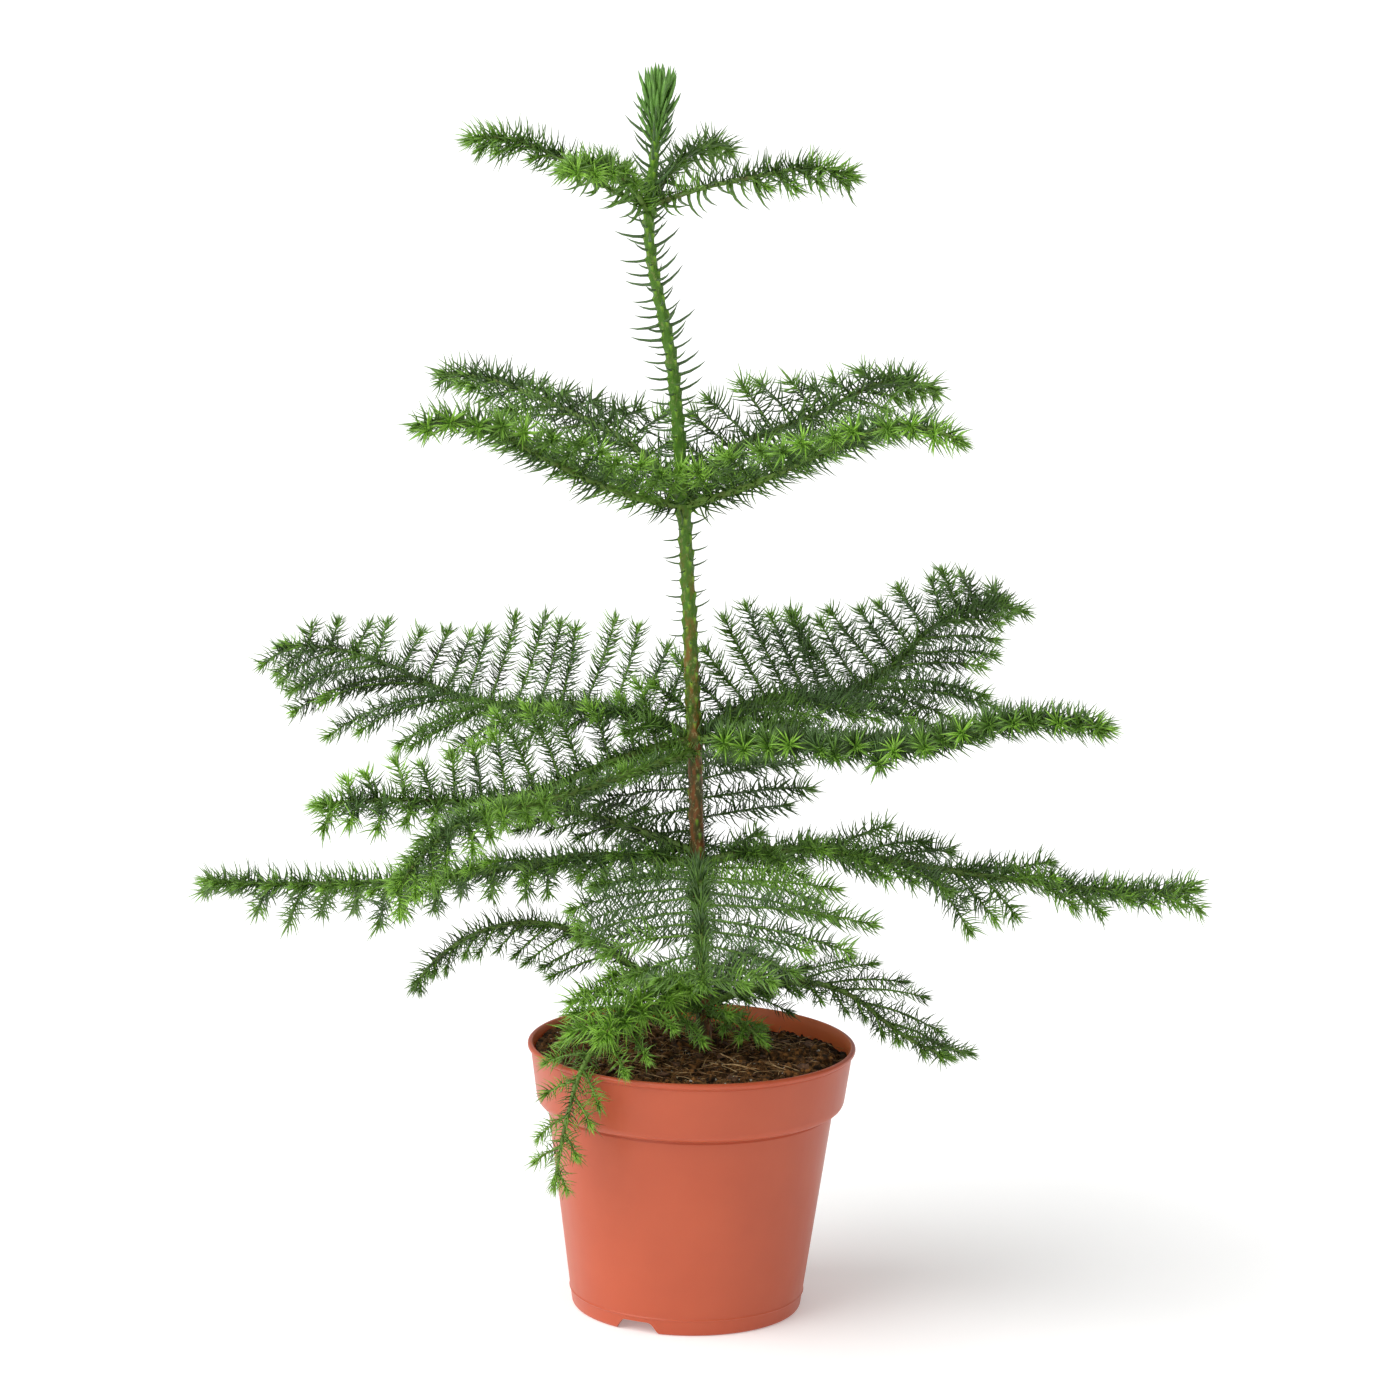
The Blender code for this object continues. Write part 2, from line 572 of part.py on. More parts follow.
def grow_twigs(room, limbs):
    """Twigs of every branch in turn, each shortened until it clears its neighbours, or skipped."""
    grown = {branch["name"]: [] for branch in BRANCHES}
    waiting = []
    for branch in BRANCHES:
        waiting += [(order, branch, twig) for order, twig in enumerate(twigs_of(branch, limbs[branch["name"]]))]
    for order, branch, twig in sorted(waiting, key=lambda item: item[0]):
        longest = twig.length
        for share in (1.0, 0.85, 0.7, 0.55, 0.4):
            twig.length = longest * share
            if twig.length < min(SHORTEST_SPRAY, longest):
                break
            points = twig.points(9)
            if (clear_of_pot(points[1:], SPRAY_HALF_WIDTH + 0.6) and clear_of_pot(points[:1], 1.5)
                    and room.clear(branch["name"], points[1:], SPRAY_HALF_WIDTH)):
                grown[branch["name"]].append(twig)
                room.add(branch["name"], points, SPRAY_HALF_WIDTH)
                break
    return grown


def build_foliage(branch, limb, twigs, group, finish, chance):
    name = "foliage_" + branch["name"]
    start = branch.get("bare", BOUGH_END) + GAP
    end = branch["length"]
    bend = np.abs(np.diff(branch["climb"])).sum()
    count = 2 + max(int((end - start) / 30.0), int(bend / 22.0))
    places = [start, *np.linspace(start + LEAD, end, count)]
    line = [limb.at(distance)[0] for distance in places]
    stem = tube(name, line, [limb_radius(branch, distance) for distance in places], group, sides=4)
    sprays = []
    for twig in twigs:
        twig.root = nearest_on(line, twig.root)
        pairs = 2 if twig.length > 30 else 1
        points = twig.points(pairs + 2)
        heading, out = twig.heading, twig.start
        lateral = heading if abs(np.dot(heading, out)) < 0.95 else np.cross(out, [0.0, 0.0, 1.0])
        normal = np.cross(out, lateral)
        roll = chance.uniform(-0.5, 0.5)
        lateral = lateral * math.cos(roll) + normal / np.linalg.norm(normal) * math.sin(roll)
        sprays.append(toothed_spray(points, lateral, pairs))
    return fused(name, stem, sprays, group, finish)


def build_bough(branch, limb, group, finish):
    name = "bough_" + branch["name"]
    start, end = bough_start(branch, limb), branch.get("bare", BOUGH_END)
    places = [*np.linspace(start, end - LEAD, max(2, int((end - start) / 16.0))), end]
    line = [limb.at(distance)[0] for distance in places]
    mesh = tube(name, line, [limb_radius(branch, distance) for distance in places], group, sides=6)
    mesh.name = name
    return add_object(name, mesh, group, finish)


def trunk_needles(room, chance):
    """Broad needles that stand up and out from the trunk between the whorls, in a rising spiral."""
    height, turn = TRUNK_FOOT + 100.0, 0.0
    while height < TRUNK_TIP - 8.0:
        growth = np.interp(height, (220.0, 330.0, 400.0, TRUNK_TIP), (6.0, 8.0, 11.0, 12.0))
        middle = trunk_point(height)
        out = np.array([math.cos(turn), math.sin(turn), 0.0])
        tip = middle + out * (trunk_radius(height) + growth * 0.8) + np.array([0, 0, growth * 0.5])
        if room.clear("trunk", [(middle + tip) / 2, tip], 0.9):
            room.add("trunk", [middle, tip], 0.9)
            yield needle(middle + out * 0.5, tip, 1.1)
        height += 6.0 + chance.uniform(-0.5, 0.5)
        turn += 2.4 + chance.uniform(-0.2, 0.2)


def build_trunk(room, group, finish, chance):
    heights = [TRUNK_FOOT, TRUNK_FOOT + 3.5, 128.0]
    for level in sorted({branch["height"] - branch.get("lift", 0.0) for branch in BRANCHES}):
        heights += [level - 6.0, level, level + 6.0]
    heights += [170.0, 235.0, 300.0, 333.0, 400.0, 433.0, 465.0, 520.0, 533.0, TRUNK_TIP]
    heights = sorted(heights)
    line = [trunk_point(height) for height in heights]
    line[0] = np.array([line[1][0], line[1][1], TRUNK_FOOT])
    radii = [trunk_radius(height) for height in heights]
    body = tube("trunk", line, radii, group, sides=8)
    return fused("trunk", body, list(trunk_needles(room, chance)), group, finish)


def build_leader(group, finish):
    """The growing tip: a short stem that carries a brush of broad upright needles."""
    start = TRUNK_TIP + GAP
    heights = (start, (start + LEADER_TIP) / 2, LEADER_TIP - 3.0)
    stem = tube("foliage_leader", [trunk_point(height) for height in heights], (1.4, 1.1, 0.7), group, sides=6)
    needles = []
    for number in range(LEADER_NEEDLES):
        rise = number / (LEADER_NEEDLES - 1)
        middle = trunk_point(start + 2.5 + 9.5 * rise)
        turn = number * 2.4
        out = np.array([math.cos(turn), math.sin(turn), 0.0])
        tip = middle + out * (8.5 - 4.0 * rise) + np.array([0, 0, 6.0 + 2.5 * rise])
        tip[2] = min(tip[2], LEADER_TIP)
        needles.append(needle(middle - out * 0.2, tip, 1.0))
    return fused("foliage_leader", stem, needles, group, finish)


def main():
    clear_scene()
    plant = collection("norfolk_island_pine")
    cutters = collection("cutters")
    chance = random.Random(SEED)
    bark = material("bark", (0.20, 0.13, 0.05), 0.8)
    green_wood = material("green_wood", (0.16, 0.22, 0.05), 0.7)
    needles = material("needles", (0.10, 0.25, 0.06), 0.55)
    young = material("young_needles", (0.22, 0.45, 0.08), 0.5)

    build_pot(plant, cutters)
    build_soil(plant)
    limbs = {branch["name"]: Limb(branch) for branch in BRANCHES}
    room = Room()
    heights = np.arange(TRUNK_FOOT, TRUNK_TIP, 6.0)
    for low, high in zip(heights[:-1], heights[1:]):
        room.add("trunk", [trunk_point(low), trunk_point(high)], trunk_radius(low))
    for branch in BRANCHES:
        limb = limbs[branch["name"]]
        start = bough_start(branch, limb) + 1.0
        line = sampled_line(limb, start, branch["length"], 6.0)
        for near, far, distance in zip(line[:-1], line[1:], np.linspace(start, branch["length"], len(line))):
            room.add(branch["name"], [near, far], limb_radius(branch, distance))
    grown = grow_twigs(room, limbs)
    for branch in BRANCHES:
        limb = limbs[branch["name"]]
        build_bough(branch, limb, plant, green_wood)
        build_foliage(branch, limb, grown[branch["name"]], plant, needles, chance)
    build_trunk(room, plant, bark, chance)
    build_leader(plant, young)


main()
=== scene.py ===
"""Looks of a potted Norfolk Island pine, a young indoor tree with five whorls of branches.

The sections follow the tree as it is put together: pot, potting mix, trunk, branch wood, needles,
growing tip, then the studio. Sizes are in millimetres and angles in degrees unless a line says so.
"""

import math

import bmesh
import bpy
import numpy as np
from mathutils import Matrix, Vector, noise


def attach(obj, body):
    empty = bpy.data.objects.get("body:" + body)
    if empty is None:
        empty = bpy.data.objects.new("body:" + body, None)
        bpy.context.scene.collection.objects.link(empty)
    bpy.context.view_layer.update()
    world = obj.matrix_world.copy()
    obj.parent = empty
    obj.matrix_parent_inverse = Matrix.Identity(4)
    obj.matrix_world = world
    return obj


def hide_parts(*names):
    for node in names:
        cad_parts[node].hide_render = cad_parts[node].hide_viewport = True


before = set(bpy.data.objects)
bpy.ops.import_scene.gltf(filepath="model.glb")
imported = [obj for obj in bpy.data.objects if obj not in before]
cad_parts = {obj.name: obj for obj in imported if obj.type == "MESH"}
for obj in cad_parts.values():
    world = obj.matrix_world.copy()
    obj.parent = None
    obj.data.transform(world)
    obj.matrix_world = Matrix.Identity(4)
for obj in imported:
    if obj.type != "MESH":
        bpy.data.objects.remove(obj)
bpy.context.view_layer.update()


# ================================================================ pot
# A thin-walled nursery pot, injection-moulded in one piece from terracotta-coloured plastic. It has
# a beaded lip, a straight band under it, a curved step down to the tapering body, a raised line
# round the foot and three drain notches. It stands on the floor and holds the potting mix.

MM = 0.001
POT_HEIGHT = 123.0
POT_SIDES = 180
NOTCH_TURNS = (5.0, 125.0, 245.0)
NOTCH_FOOT, NOTCH_TOP, NOTCH_HEIGHT = 10.4, 7.0, 5.2   # half widths, then height
NOTCH_DEPTH = 8.0
NOTCH_REACH = 52.0

# (radius, height, rounding) of each corner of the wall, outside from the lip down, then inside up
POT_OUTSIDE = (
    (74.1, 123.0, 0.7), (75.0, 122.2, 0.7), (74.9, 120.9, 0.5), (73.55, 120.2, 0.3), (73.3, 119.9, 0.2),
    (73.45, 119.5, 0.2), (70.4, 97.6, 1.0), (69.3, 95.4, 1.2), (66.0, 94.2, 0.2),
    (64.9, 94.0, 0.1), (65.1, 93.2, 0.1), (65.3, 92.8, 0.2),
    (53.75, 8.1, 0.3), (54.15, 7.4, 0.3), (53.55, 6.9, 0.3), (52.7, 0.9, 0.7), (52.0, 0.0, 0.4),
    (50.8, 0.0, 0.4), (50.8, 5.8, 0.6), (33.0, 5.8, 0.8), (31.0, 0.0, 0.6), (0.0, 0.0, 0.0),
)
POT_INSIDE = (
    (0.0, 1.3, 0.0), (30.1, 1.3, 0.6), (32.1, 7.1, 0.6), (52.2, 7.1, 1.2), (64.1, 93.7, 1.5),
    (69.0, 98.6, 1.5), (72.0, 119.8, 1.0), (72.9, 123.0, 0.5),
)


def rounded(corners, steps=4):
    """The closed outline with each corner cut back by its rounding and joined by a short curve."""
    made = []
    for number, (radius, height, cut) in enumerate(corners):
        corner = np.array([radius, height])
        if cut == 0.0:
            made.append(corner)
            continue
        before = np.array(corners[number - 1][:2]) - corner
        after = np.array(corners[(number + 1) % len(corners)][:2]) - corner
        start = corner + before / np.linalg.norm(before) * min(cut, np.linalg.norm(before) * 0.45)
        end = corner + after / np.linalg.norm(after) * min(cut, np.linalg.norm(after) * 0.45)
        for share in np.linspace(0.0, 1.0, steps):
            made.append((1 - share) ** 2 * start + 2 * share * (1 - share) * corner + share ** 2 * end)
    return made


def link(name, holds):
    """An object at the origin that holds a mesh, light or camera."""
    made = bpy.data.objects.new(name, holds)
    bpy.context.scene.collection.objects.link(made)
    return made


def meshed(shape, name):
    """The finished bmesh as a mesh."""
    mesh = bpy.data.meshes.new(name)
    shape.to_mesh(mesh)
    shape.free()
    return mesh


def circle(radius, height, turns):
    """Points round the axis, or the one point on it where the radius is nought."""
    return [(radius * math.cos(a), radius * math.sin(a), height) for a in (turns if radius else (0.0,))]


def lofted(name, rings, inward=False, closed=False, unit=MM):
    """A mesh over rings of points, in millimetres or another unit. A ring of one point is a tip, and
    an open first ring is covered. inward turns the faces over, closed joins the last to the first."""
    starts = np.cumsum([0] + [len(ring) for ring in rings]).tolist()
    sides = max(len(ring) for ring in rings)
    faces = [tuple(range(sides))[::-1]] if len(rings[0]) > 1 and not closed else []
    for low in range(len(rings) - (not closed)):
        high = (low + 1) % len(rings)
        for k in range(sides):
            quad = [starts[ring] + corner % sides % len(rings[ring])
                    for ring, corner in ((low, k), (low, k + 1), (high, k + 1), (high, k))]
            face = list(dict.fromkeys(quad[:1] + quad[:0:-1] if inward else quad))
            if len(face) > 2:
                faces.append(face)
    mesh = bpy.data.meshes.new(name)
    mesh.from_pydata([tuple(np.asarray(corner) * unit) for ring in rings for corner in ring], [], faces)
    return mesh


def settled(thing):
    """The object's modifiers are turned into plain mesh, and its place goes into the mesh."""
    bpy.context.view_layer.update()
    graph = bpy.context.evaluated_depsgraph_get()
    mesh = bpy.data.meshes.new_from_object(thing.evaluated_get(graph))
    mesh.transform(thing.matrix_world)
    thing.modifiers.clear()
    thing.matrix_world.identity()
    thing.data = mesh
    return thing


def smooth(mesh, angle=40.0):
    """Smooth shading, with edges sharper than the angle left crisp."""
    mesh.polygons.foreach_set("use_smooth", [True] * len(mesh.polygons))
    mesh.set_sharp_from_angle(angle=math.radians(angle))


def finish(name, colour, roughness):
    """A new material: its node tree and shader come with it."""
    made = bpy.data.materials.new(name)
    made.use_nodes = True
    shader = made.node_tree.nodes["Principled BSDF"]
    shader.inputs["Base Color"].default_value = (*colour, 1.0)
    shader.inputs["Roughness"].default_value = roughness
    return made, made.node_tree, shader


def joined(group, kind, sockets=None, **settings):
    """A new node with these settings. Each socket takes a plain value, or a link from another socket."""
    made = group.nodes.new(kind)
    for key, value in settings.items():
        setattr(made, key, value)
    for key, value in (sockets or {}).items():
        if isinstance(value, bpy.types.NodeSocket):
            group.links.new(value, made.inputs[key])
        else:
            made.inputs[key].default_value = value
    return made


def maths(group, operation, first, second):
    """The result of one operation on two numbers or sockets."""
    return joined(group, "ShaderNodeMath", {0: first, 1: second}, operation=operation).outputs[0]


def grain(tree, scale, detail=3.0, stretch=(1.0, 1.0, 1.0), rough=0.55):
    """Noise over the object's own coordinates; scale is in features per metre."""
    place = joined(tree, "ShaderNodeTexCoord").outputs["Object"]
    fit = joined(tree, "ShaderNodeMapping", {"Vector": place, "Scale": stretch}).outputs["Vector"]
    return joined(tree, "ShaderNodeTexNoise", {
        "Vector": fit, "Scale": scale, "Detail": detail, "Roughness": rough}).outputs["Fac"]


def ranged(tree, source, low, high, start=0.3, end=0.7):
    """The source from start to end, mapped to low to high."""
    return joined(tree, "ShaderNodeMapRange", {
        "Value": source, "From Min": start, "From Max": end, "To Min": low, "To Max": high}).outputs["Result"]


def toned(tree, source, stops):
    """Colours eased along the source: stops are (place, colour)."""
    made = joined(tree, "ShaderNodeValToRGB", {"Fac": source})
    ramp = made.color_ramp
    while len(ramp.elements) < len(stops):
        ramp.elements.new(0.5)
    for element, (place, colour) in zip(ramp.elements, stops):
        element.position = place
        element.color = (*colour, 1.0)
    return made.outputs["Color"]


def blended(tree, share, first, second):
    """A mix of two colours, each a socket or a plain colour."""
    ends = {key: (*colour, 1.0) if isinstance(colour, tuple) else colour
            for key, colour in (("A", first), ("B", second))}
    return joined(tree, "ShaderNodeMix", {"Factor": share, **ends}, data_type="RGBA").outputs["Result"]


def bumped(tree, shader, source, strength, distance):
    """Fine relief in the shader; distance is in millimetres."""
    relief = joined(tree, "ShaderNodeBump", {
        "Height": source, "Strength": strength, "Distance": distance * MM})
    tree.links.new(relief.outputs["Normal"], shader.inputs["Normal"])


def mottled(name, colour, roughness, spots, stops, fine=None, relief=None):
    """A finish with its colours spread by noise of these spots, and perhaps relief of a fine grain."""
    made, tree, shader = finish(name, colour, roughness)
    tree.links.new(toned(tree, grain(tree, *spots), stops), shader.inputs["Base Color"])
    if fine:
        bumped(tree, shader, grain(tree, *fine), *relief)
    return made


def height_in(tree):
    """Height in the object's own coordinates."""
    place = joined(tree, "ShaderNodeTexCoord").outputs["Object"]
    return joined(tree, "ShaderNodeSeparateXYZ", {"Vector": place}).outputs["Z"]


def facing_in(tree):
    """1 on the wall's inner face, which gets a painted glow of light through the plastic, 0 outside."""
    place = joined(tree, "ShaderNodeTexCoord").outputs
    out = joined(tree, "ShaderNodeVectorMath", {0: place["Object"], 1: (1.0, 1.0, 0.0)}, operation="MULTIPLY")
    toward = joined(tree, "ShaderNodeVectorMath", {0: out.outputs["Vector"], 1: place["Normal"]},
                    operation="DOT_PRODUCT")
    return ranged(tree, toward.outputs["Value"], 1.0, 0.0, -0.04, -0.01)


turns = np.linspace(0.0, math.tau, POT_SIDES, endpoint=False)
pot_wall = link("pot_wall", lofted("pot_wall", [
    circle(radius, height, turns) for radius, height in rounded(POT_OUTSIDE + POT_INSIDE)],
    inward=True, closed=True))

notches = []
for turn in NOTCH_TURNS:
    side = rounded(((-NOTCH_FOOT - 1.0, -2.0, 0.0), (NOTCH_FOOT + 1.0, -2.0, 0.0), (NOTCH_FOOT, 0.3, 1.2),
                    (NOTCH_TOP, NOTCH_HEIGHT, 1.8), (-NOTCH_TOP, NOTCH_HEIGHT, 1.8), (-NOTCH_FOOT, 0.3, 1.2)))
    shape = bmesh.new()
    near = [shape.verts.new((0.0, y * MM, z * MM)) for y, z in side]
    face = shape.faces.new(near)
    grown = bmesh.ops.extrude_face_region(shape, geom=[face])
    moved = [part for part in grown["geom"] if isinstance(part, bmesh.types.BMVert)]
    bmesh.ops.translate(shape, verts=moved, vec=(NOTCH_DEPTH * MM, 0.0, 0.0))
    bmesh.ops.recalc_face_normals(shape, faces=shape.faces)
    notch = link(f"notch_{turn:.0f}", meshed(shape, "notch"))
    angle = math.radians(turn)
    notch.location = Vector((math.cos(angle), math.sin(angle), 0.0)) * (NOTCH_REACH - NOTCH_DEPTH / 2) * MM
    notch.rotation_euler = (0.0, 0.0, angle)
    cut = pot_wall.modifiers.new("notch", "BOOLEAN")
    cut.operation = "DIFFERENCE"
    cut.object = notch
    cut.solver = "EXACT"
    notches.append(notch)
settled(pot_wall)
for notch in notches:
    bpy.data.objects.remove(notch, do_unlink=True)
smooth(pot_wall.data, 32.0)

plastic, tree, shader = finish("terracotta_plastic", (0.50, 0.105, 0.045), 0.38)
shader.inputs["Specular IOR Level"].default_value = 0.45
shader.inputs["Subsurface Weight"].default_value = 0.15
shader.inputs["Subsurface Radius"].default_value = (1.0, 0.35, 0.15)
shader.inputs["Subsurface Scale"].default_value = 0.004
cloudy = ranged(tree, grain(tree, 28.0, 4.0), 0.0, 1.0)
body = blended(tree, cloudy, (0.462, 0.082, 0.031), (0.505, 0.094, 0.036))
dust = ranged(tree, grain(tree, 900.0, 4.0, rough=0.7), 0.0, 0.10, 0.62, 0.80)
dusty = blended(tree, dust, body, (0.56, 0.26, 0.17))
# The inner wall is painted a brighter orange: a painted glow of light through the plastic.
tree.links.new(blended(tree, facing_in(tree), dusty, (0.74, 0.180, 0.048)), shader.inputs["Base Color"])
tree.links.new(ranged(tree, grain(tree, 60.0, 5.0, (1.0, 1.0, 0.25)), 0.33, 0.46), shader.inputs["Roughness"])
bumped(tree, shader, grain(tree, 2600.0, 2.0), 0.10, 0.05)
pot_wall.data.materials.clear()
pot_wall.data.materials.append(plastic)
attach(pot_wall, "root")
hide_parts("pot")


# ================================================================ potting mix
# The root ball: peat and coconut coir pressed into the pot nearly up to its lip. Its top is a lumpy
# crust with loose crumbs, brown coir fibres, flakes of composted bark and a little pale grit.

SOIL_MIDDLE, SOIL_EDGE = 121.0, 119.9
SOIL_RADIUS = 71.3
SOIL_RINGS, SOIL_SIDES = 96, 260
SOIL_SKIRT = ((69.6, 106.0), (67.6, 99.0), (62.0, 93.0), (0.0, 93.0))   # (radius, height), under the crust
PAINTED_SHADE_HEIGHTS = (0.1172, 0.1215)   # heights between which the mix fades to dark, painted shade in the low hollows, in metres
STEM_FOOT = (6.0, 0.0)


def soil_height(x, y):
    """Height of the crust: a low dome, sunk at the back, with lumps, calmer at the stem and the wall."""
    out = math.hypot(x, y) / SOIL_RADIUS
    spot = Vector((x, y, 0.0))
    lumps = (2.0 * noise.noise(spot / 15.0) + 3.2 * noise.noise(spot / 7.0 + Vector((7, 3, 1)))
             + 1.4 * noise.noise(spot / 2.6 + Vector((1, 9, 4))) + 0.5 * noise.noise(spot / 1.2))
    calm = min(1.0, math.hypot(x - STEM_FOOT[0], y) / 12.0) * (1.0 - 0.5 * out ** 6)
    slump = 7.0 * max(0.0, 0.50 * x + 0.85 * y - 20.0) / 50.0
    return SOIL_MIDDLE - (SOIL_MIDDLE - SOIL_EDGE) * out ** 2 - slump + lumps * (0.25 + 0.75 * calm)


turns = np.linspace(0.0, math.tau, SOIL_SIDES, endpoint=False)
rings = [circle(radius, 0.0, turns) for radius in np.linspace(0.0, SOIL_RADIUS, SOIL_RINGS + 1)]
rings = [[(x, y, soil_height(x, y)) for x, y, _ in ring] for ring in rings]
rings += [circle(radius, height, turns) for radius, height in SOIL_SKIRT]
crust = link("soil_crust", lofted("soil_crust", rings, inward=True))
smooth(crust.data, 60.0)

earth, tree, shader = finish("damp_peat", (0.045, 0.026, 0.016), 0.92)
shader.inputs["Specular IOR Level"].default_value = 0.25
patches = toned(tree, grain(tree, 260.0, 6.0, rough=0.65),
                ((0.36, (0.008, 0.004, 0.001)), (0.48, (0.070, 0.031, 0.009)), (0.60, (0.210, 0.096, 0.028)),
                 (0.74, (0.400, 0.205, 0.070))))
# The low hollows and the sunk back of the crust fade to near black: painted shade.
painted_shade = ranged(tree, height_in(tree), 0.85, 0.0, *PAINTED_SHADE_HEIGHTS)
tree.links.new(blended(tree, painted_shade, patches, (0.006, 0.003, 0.001)), shader.inputs["Base Color"])
bumped(tree, shader, grain(tree, 1500.0, 5.0, rough=0.7), 0.9, 0.35)
crust.data.materials.append(earth)


COIR_STEPS, COIR_TURNS = 8, [math.tau * k / 4 for k in range(4)]
CRUST_LOW = 0.108            # bits lie on faces over this height, in metres
SPARE = ("id", "girth", "ahead", "out", "lean", "needle")     # attributes that only node trees need


def node_group(name, sockets):
    """A geometry node tree with these named inputs, and its input sockets."""
    group = bpy.data.node_groups.new(name, "GeometryNodeTree")
    group.interface.new_socket("Geometry", in_out="INPUT", socket_type="NodeSocketGeometry")
    group.interface.new_socket("Geometry", in_out="OUTPUT", socket_type="NodeSocketGeometry")
    for label, kind, value in sockets:
        made = group.interface.new_socket(label, in_out="INPUT", socket_type="NodeSocket" + kind)
        if value is not None:
            made.default_value = value
    return group, group.nodes.new("NodeGroupInput").outputs


def ended(group, given, geometry):
    """Ends the tree: the geometry as plain mesh, with the material of its Finish input."""
    real = joined(group, "GeometryNodeRealizeInstances", {"Geometry": geometry}).outputs["Geometry"]
    faced = joined(group, "GeometryNodeSetMaterial", {"Geometry": real, "Material": given["Finish"]})
    joined(group, "NodeGroupOutput", {"Geometry": faced.outputs["Geometry"]})


def run_tree(thing, group, **inputs):
    """Runs the tree on the object, with its inputs given by label, and keeps the plain mesh."""
    modifier = thing.modifiers.new("tree", "NODES")
    modifier.node_group = group
    for label, value in inputs.items():
        modifier[group.interface.items_tree[label.replace("_", " ")].identifier] = value
    settled(thing)
    while thing.data.materials[0] is None:
        thing.data.materials.pop(index=0)
    for spare in [a.name for a in thing.data.attributes if a.name in SPARE]:
        thing.data.attributes.remove(thing.data.attributes[spare])
    return thing


scatter, given = node_group("loose bits on the crust", (
    ("Bits", "Collection", None), ("Finish", "Material", None), ("Count per m2", "Float", 1000.0),
    ("Smallest", "Float", 0.8), ("Largest", "Float", 1.3), ("Tilt", "Float", 0.4), ("Sink", "Float", 0.0),
    ("Seed", "Int", 1)))
spread = joined(scatter, "GeometryNodeDistributePointsOnFaces", distribute_method="RANDOM", sockets={
    "Mesh": given["Geometry"], "Density": given["Count per m2"], "Seed": given["Seed"]})
bits = joined(scatter, "GeometryNodeCollectionInfo", {
    "Collection": given["Bits"], "Separate Children": True, "Reset Children": True})
back = maths(scatter, "MULTIPLY", given["Tilt"], -1.0)
least = joined(scatter, "ShaderNodeCombineXYZ", {"X": back, "Y": back})
most = joined(scatter, "ShaderNodeCombineXYZ", {"X": given["Tilt"], "Y": given["Tilt"], "Z": math.tau})
turned = joined(scatter, "FunctionNodeRandomValue", data_type="FLOAT_VECTOR", sockets={
    0: least.outputs[0], 1: most.outputs[0], "Seed": given["Seed"]})
sized = joined(scatter, "FunctionNodeRandomValue", data_type="FLOAT", sockets={
    2: given["Smallest"], 3: given["Largest"], "Seed": given["Seed"]})
lowered = joined(scatter, "ShaderNodeCombineXYZ", {"Z": given["Sink"]})
sunk = joined(scatter, "GeometryNodeSetPosition", {
    "Geometry": spread.outputs["Points"], "Offset": lowered.outputs[0]})
laid = joined(scatter, "GeometryNodeInstanceOnPoints", {
    "Points": sunk.outputs["Geometry"], "Instance": bits.outputs["Instances"], "Pick Instance": True,
    "Rotation": turned.outputs[0], "Scale": sized.outputs[1]})
ended(scatter, given, laid.outputs["Instances"])


def bit_box(name, meshes):
    """The shapes that one kind of loose bit is picked from, kept out of sight."""
    box = bpy.data.collections.new(name)
    for number, mesh in enumerate(meshes):
        box.objects.link(bpy.data.objects.new(f"{name}_{number}", mesh))
    return box


def crumb(seed, flat=1.0, size=1.0, subdivisions=1):
    """An irregular lump about size across, in millimetres."""
    shape = bmesh.new()
    bmesh.ops.create_icosphere(shape, subdivisions=subdivisions, radius=size / 2 * MM)
    for corner in shape.verts:
        push = 1.0 + 0.55 * noise.noise(Vector(corner.co) / (size * MM) * 2.2 + Vector((seed * 3.1, seed, 0)))
        corner.co = corner.co * push
        corner.co.z *= flat
    return meshed(shape, "crumb")


def coir(seed, length, girth, curl):
    """A wiry fibre, in millimetres, that wanders over the crust and lifts at one end."""
    draw = np.random.default_rng(seed)
    share = np.linspace(0.0, 1.0, COIR_STEPS + 1)
    bend = draw.uniform(-curl, curl)
    heading = draw.uniform(-0.4, 0.4) + bend * share + draw.uniform(-0.5, 0.5) * np.sin(share * 5.0)
    step = length / COIR_STEPS
    x = np.concatenate([[0.0], np.cumsum(np.cos(heading[1:]) * step)]) - length / 2
    y = np.concatenate([[0.0], np.cumsum(np.sin(heading[1:]) * step)])
    z = 0.5 + draw.uniform(0.2, 2.2) * np.sin(share * math.pi * draw.uniform(0.5, 1.0))
    points = np.stack([x, y, z], 1)
    ahead = np.gradient(points, axis=0)
    ahead /= np.linalg.norm(ahead, axis=1)[:, None]
    across = np.cross(ahead, [0.13, 0.21, 0.97])
    across /= np.linalg.norm(across, axis=1)[:, None]
    above = np.cross(across, ahead)
    rings = [[point + girth * (side * math.cos(a) + top * math.sin(a)) for a in COIR_TURNS]
             for point, side, top in zip(points[1:-1], across[1:-1], above[1:-1])]
    return lofted("coir", [points[:1], *rings, points[-1:]], inward=True)


def scattered(name, bits, material, radius, slot, **inputs):
    """Loose bits over the crust inside the radius, as one piece."""
    ground = bmesh.new()
    ground.from_mesh(crust.data)
    ground.faces.ensure_lookup_table()
    away = [f for f in ground.faces
            if math.hypot(*f.calc_center_median()[:2]) > radius * MM or f.calc_center_median().z < CRUST_LOW]
    bmesh.ops.delete(ground, geom=away, context="FACES")
    piece = run_tree(link(name, meshed(ground, name)), scatter, Bits=bits, Finish=material, **inputs)
    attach(piece, "root")
    return piece


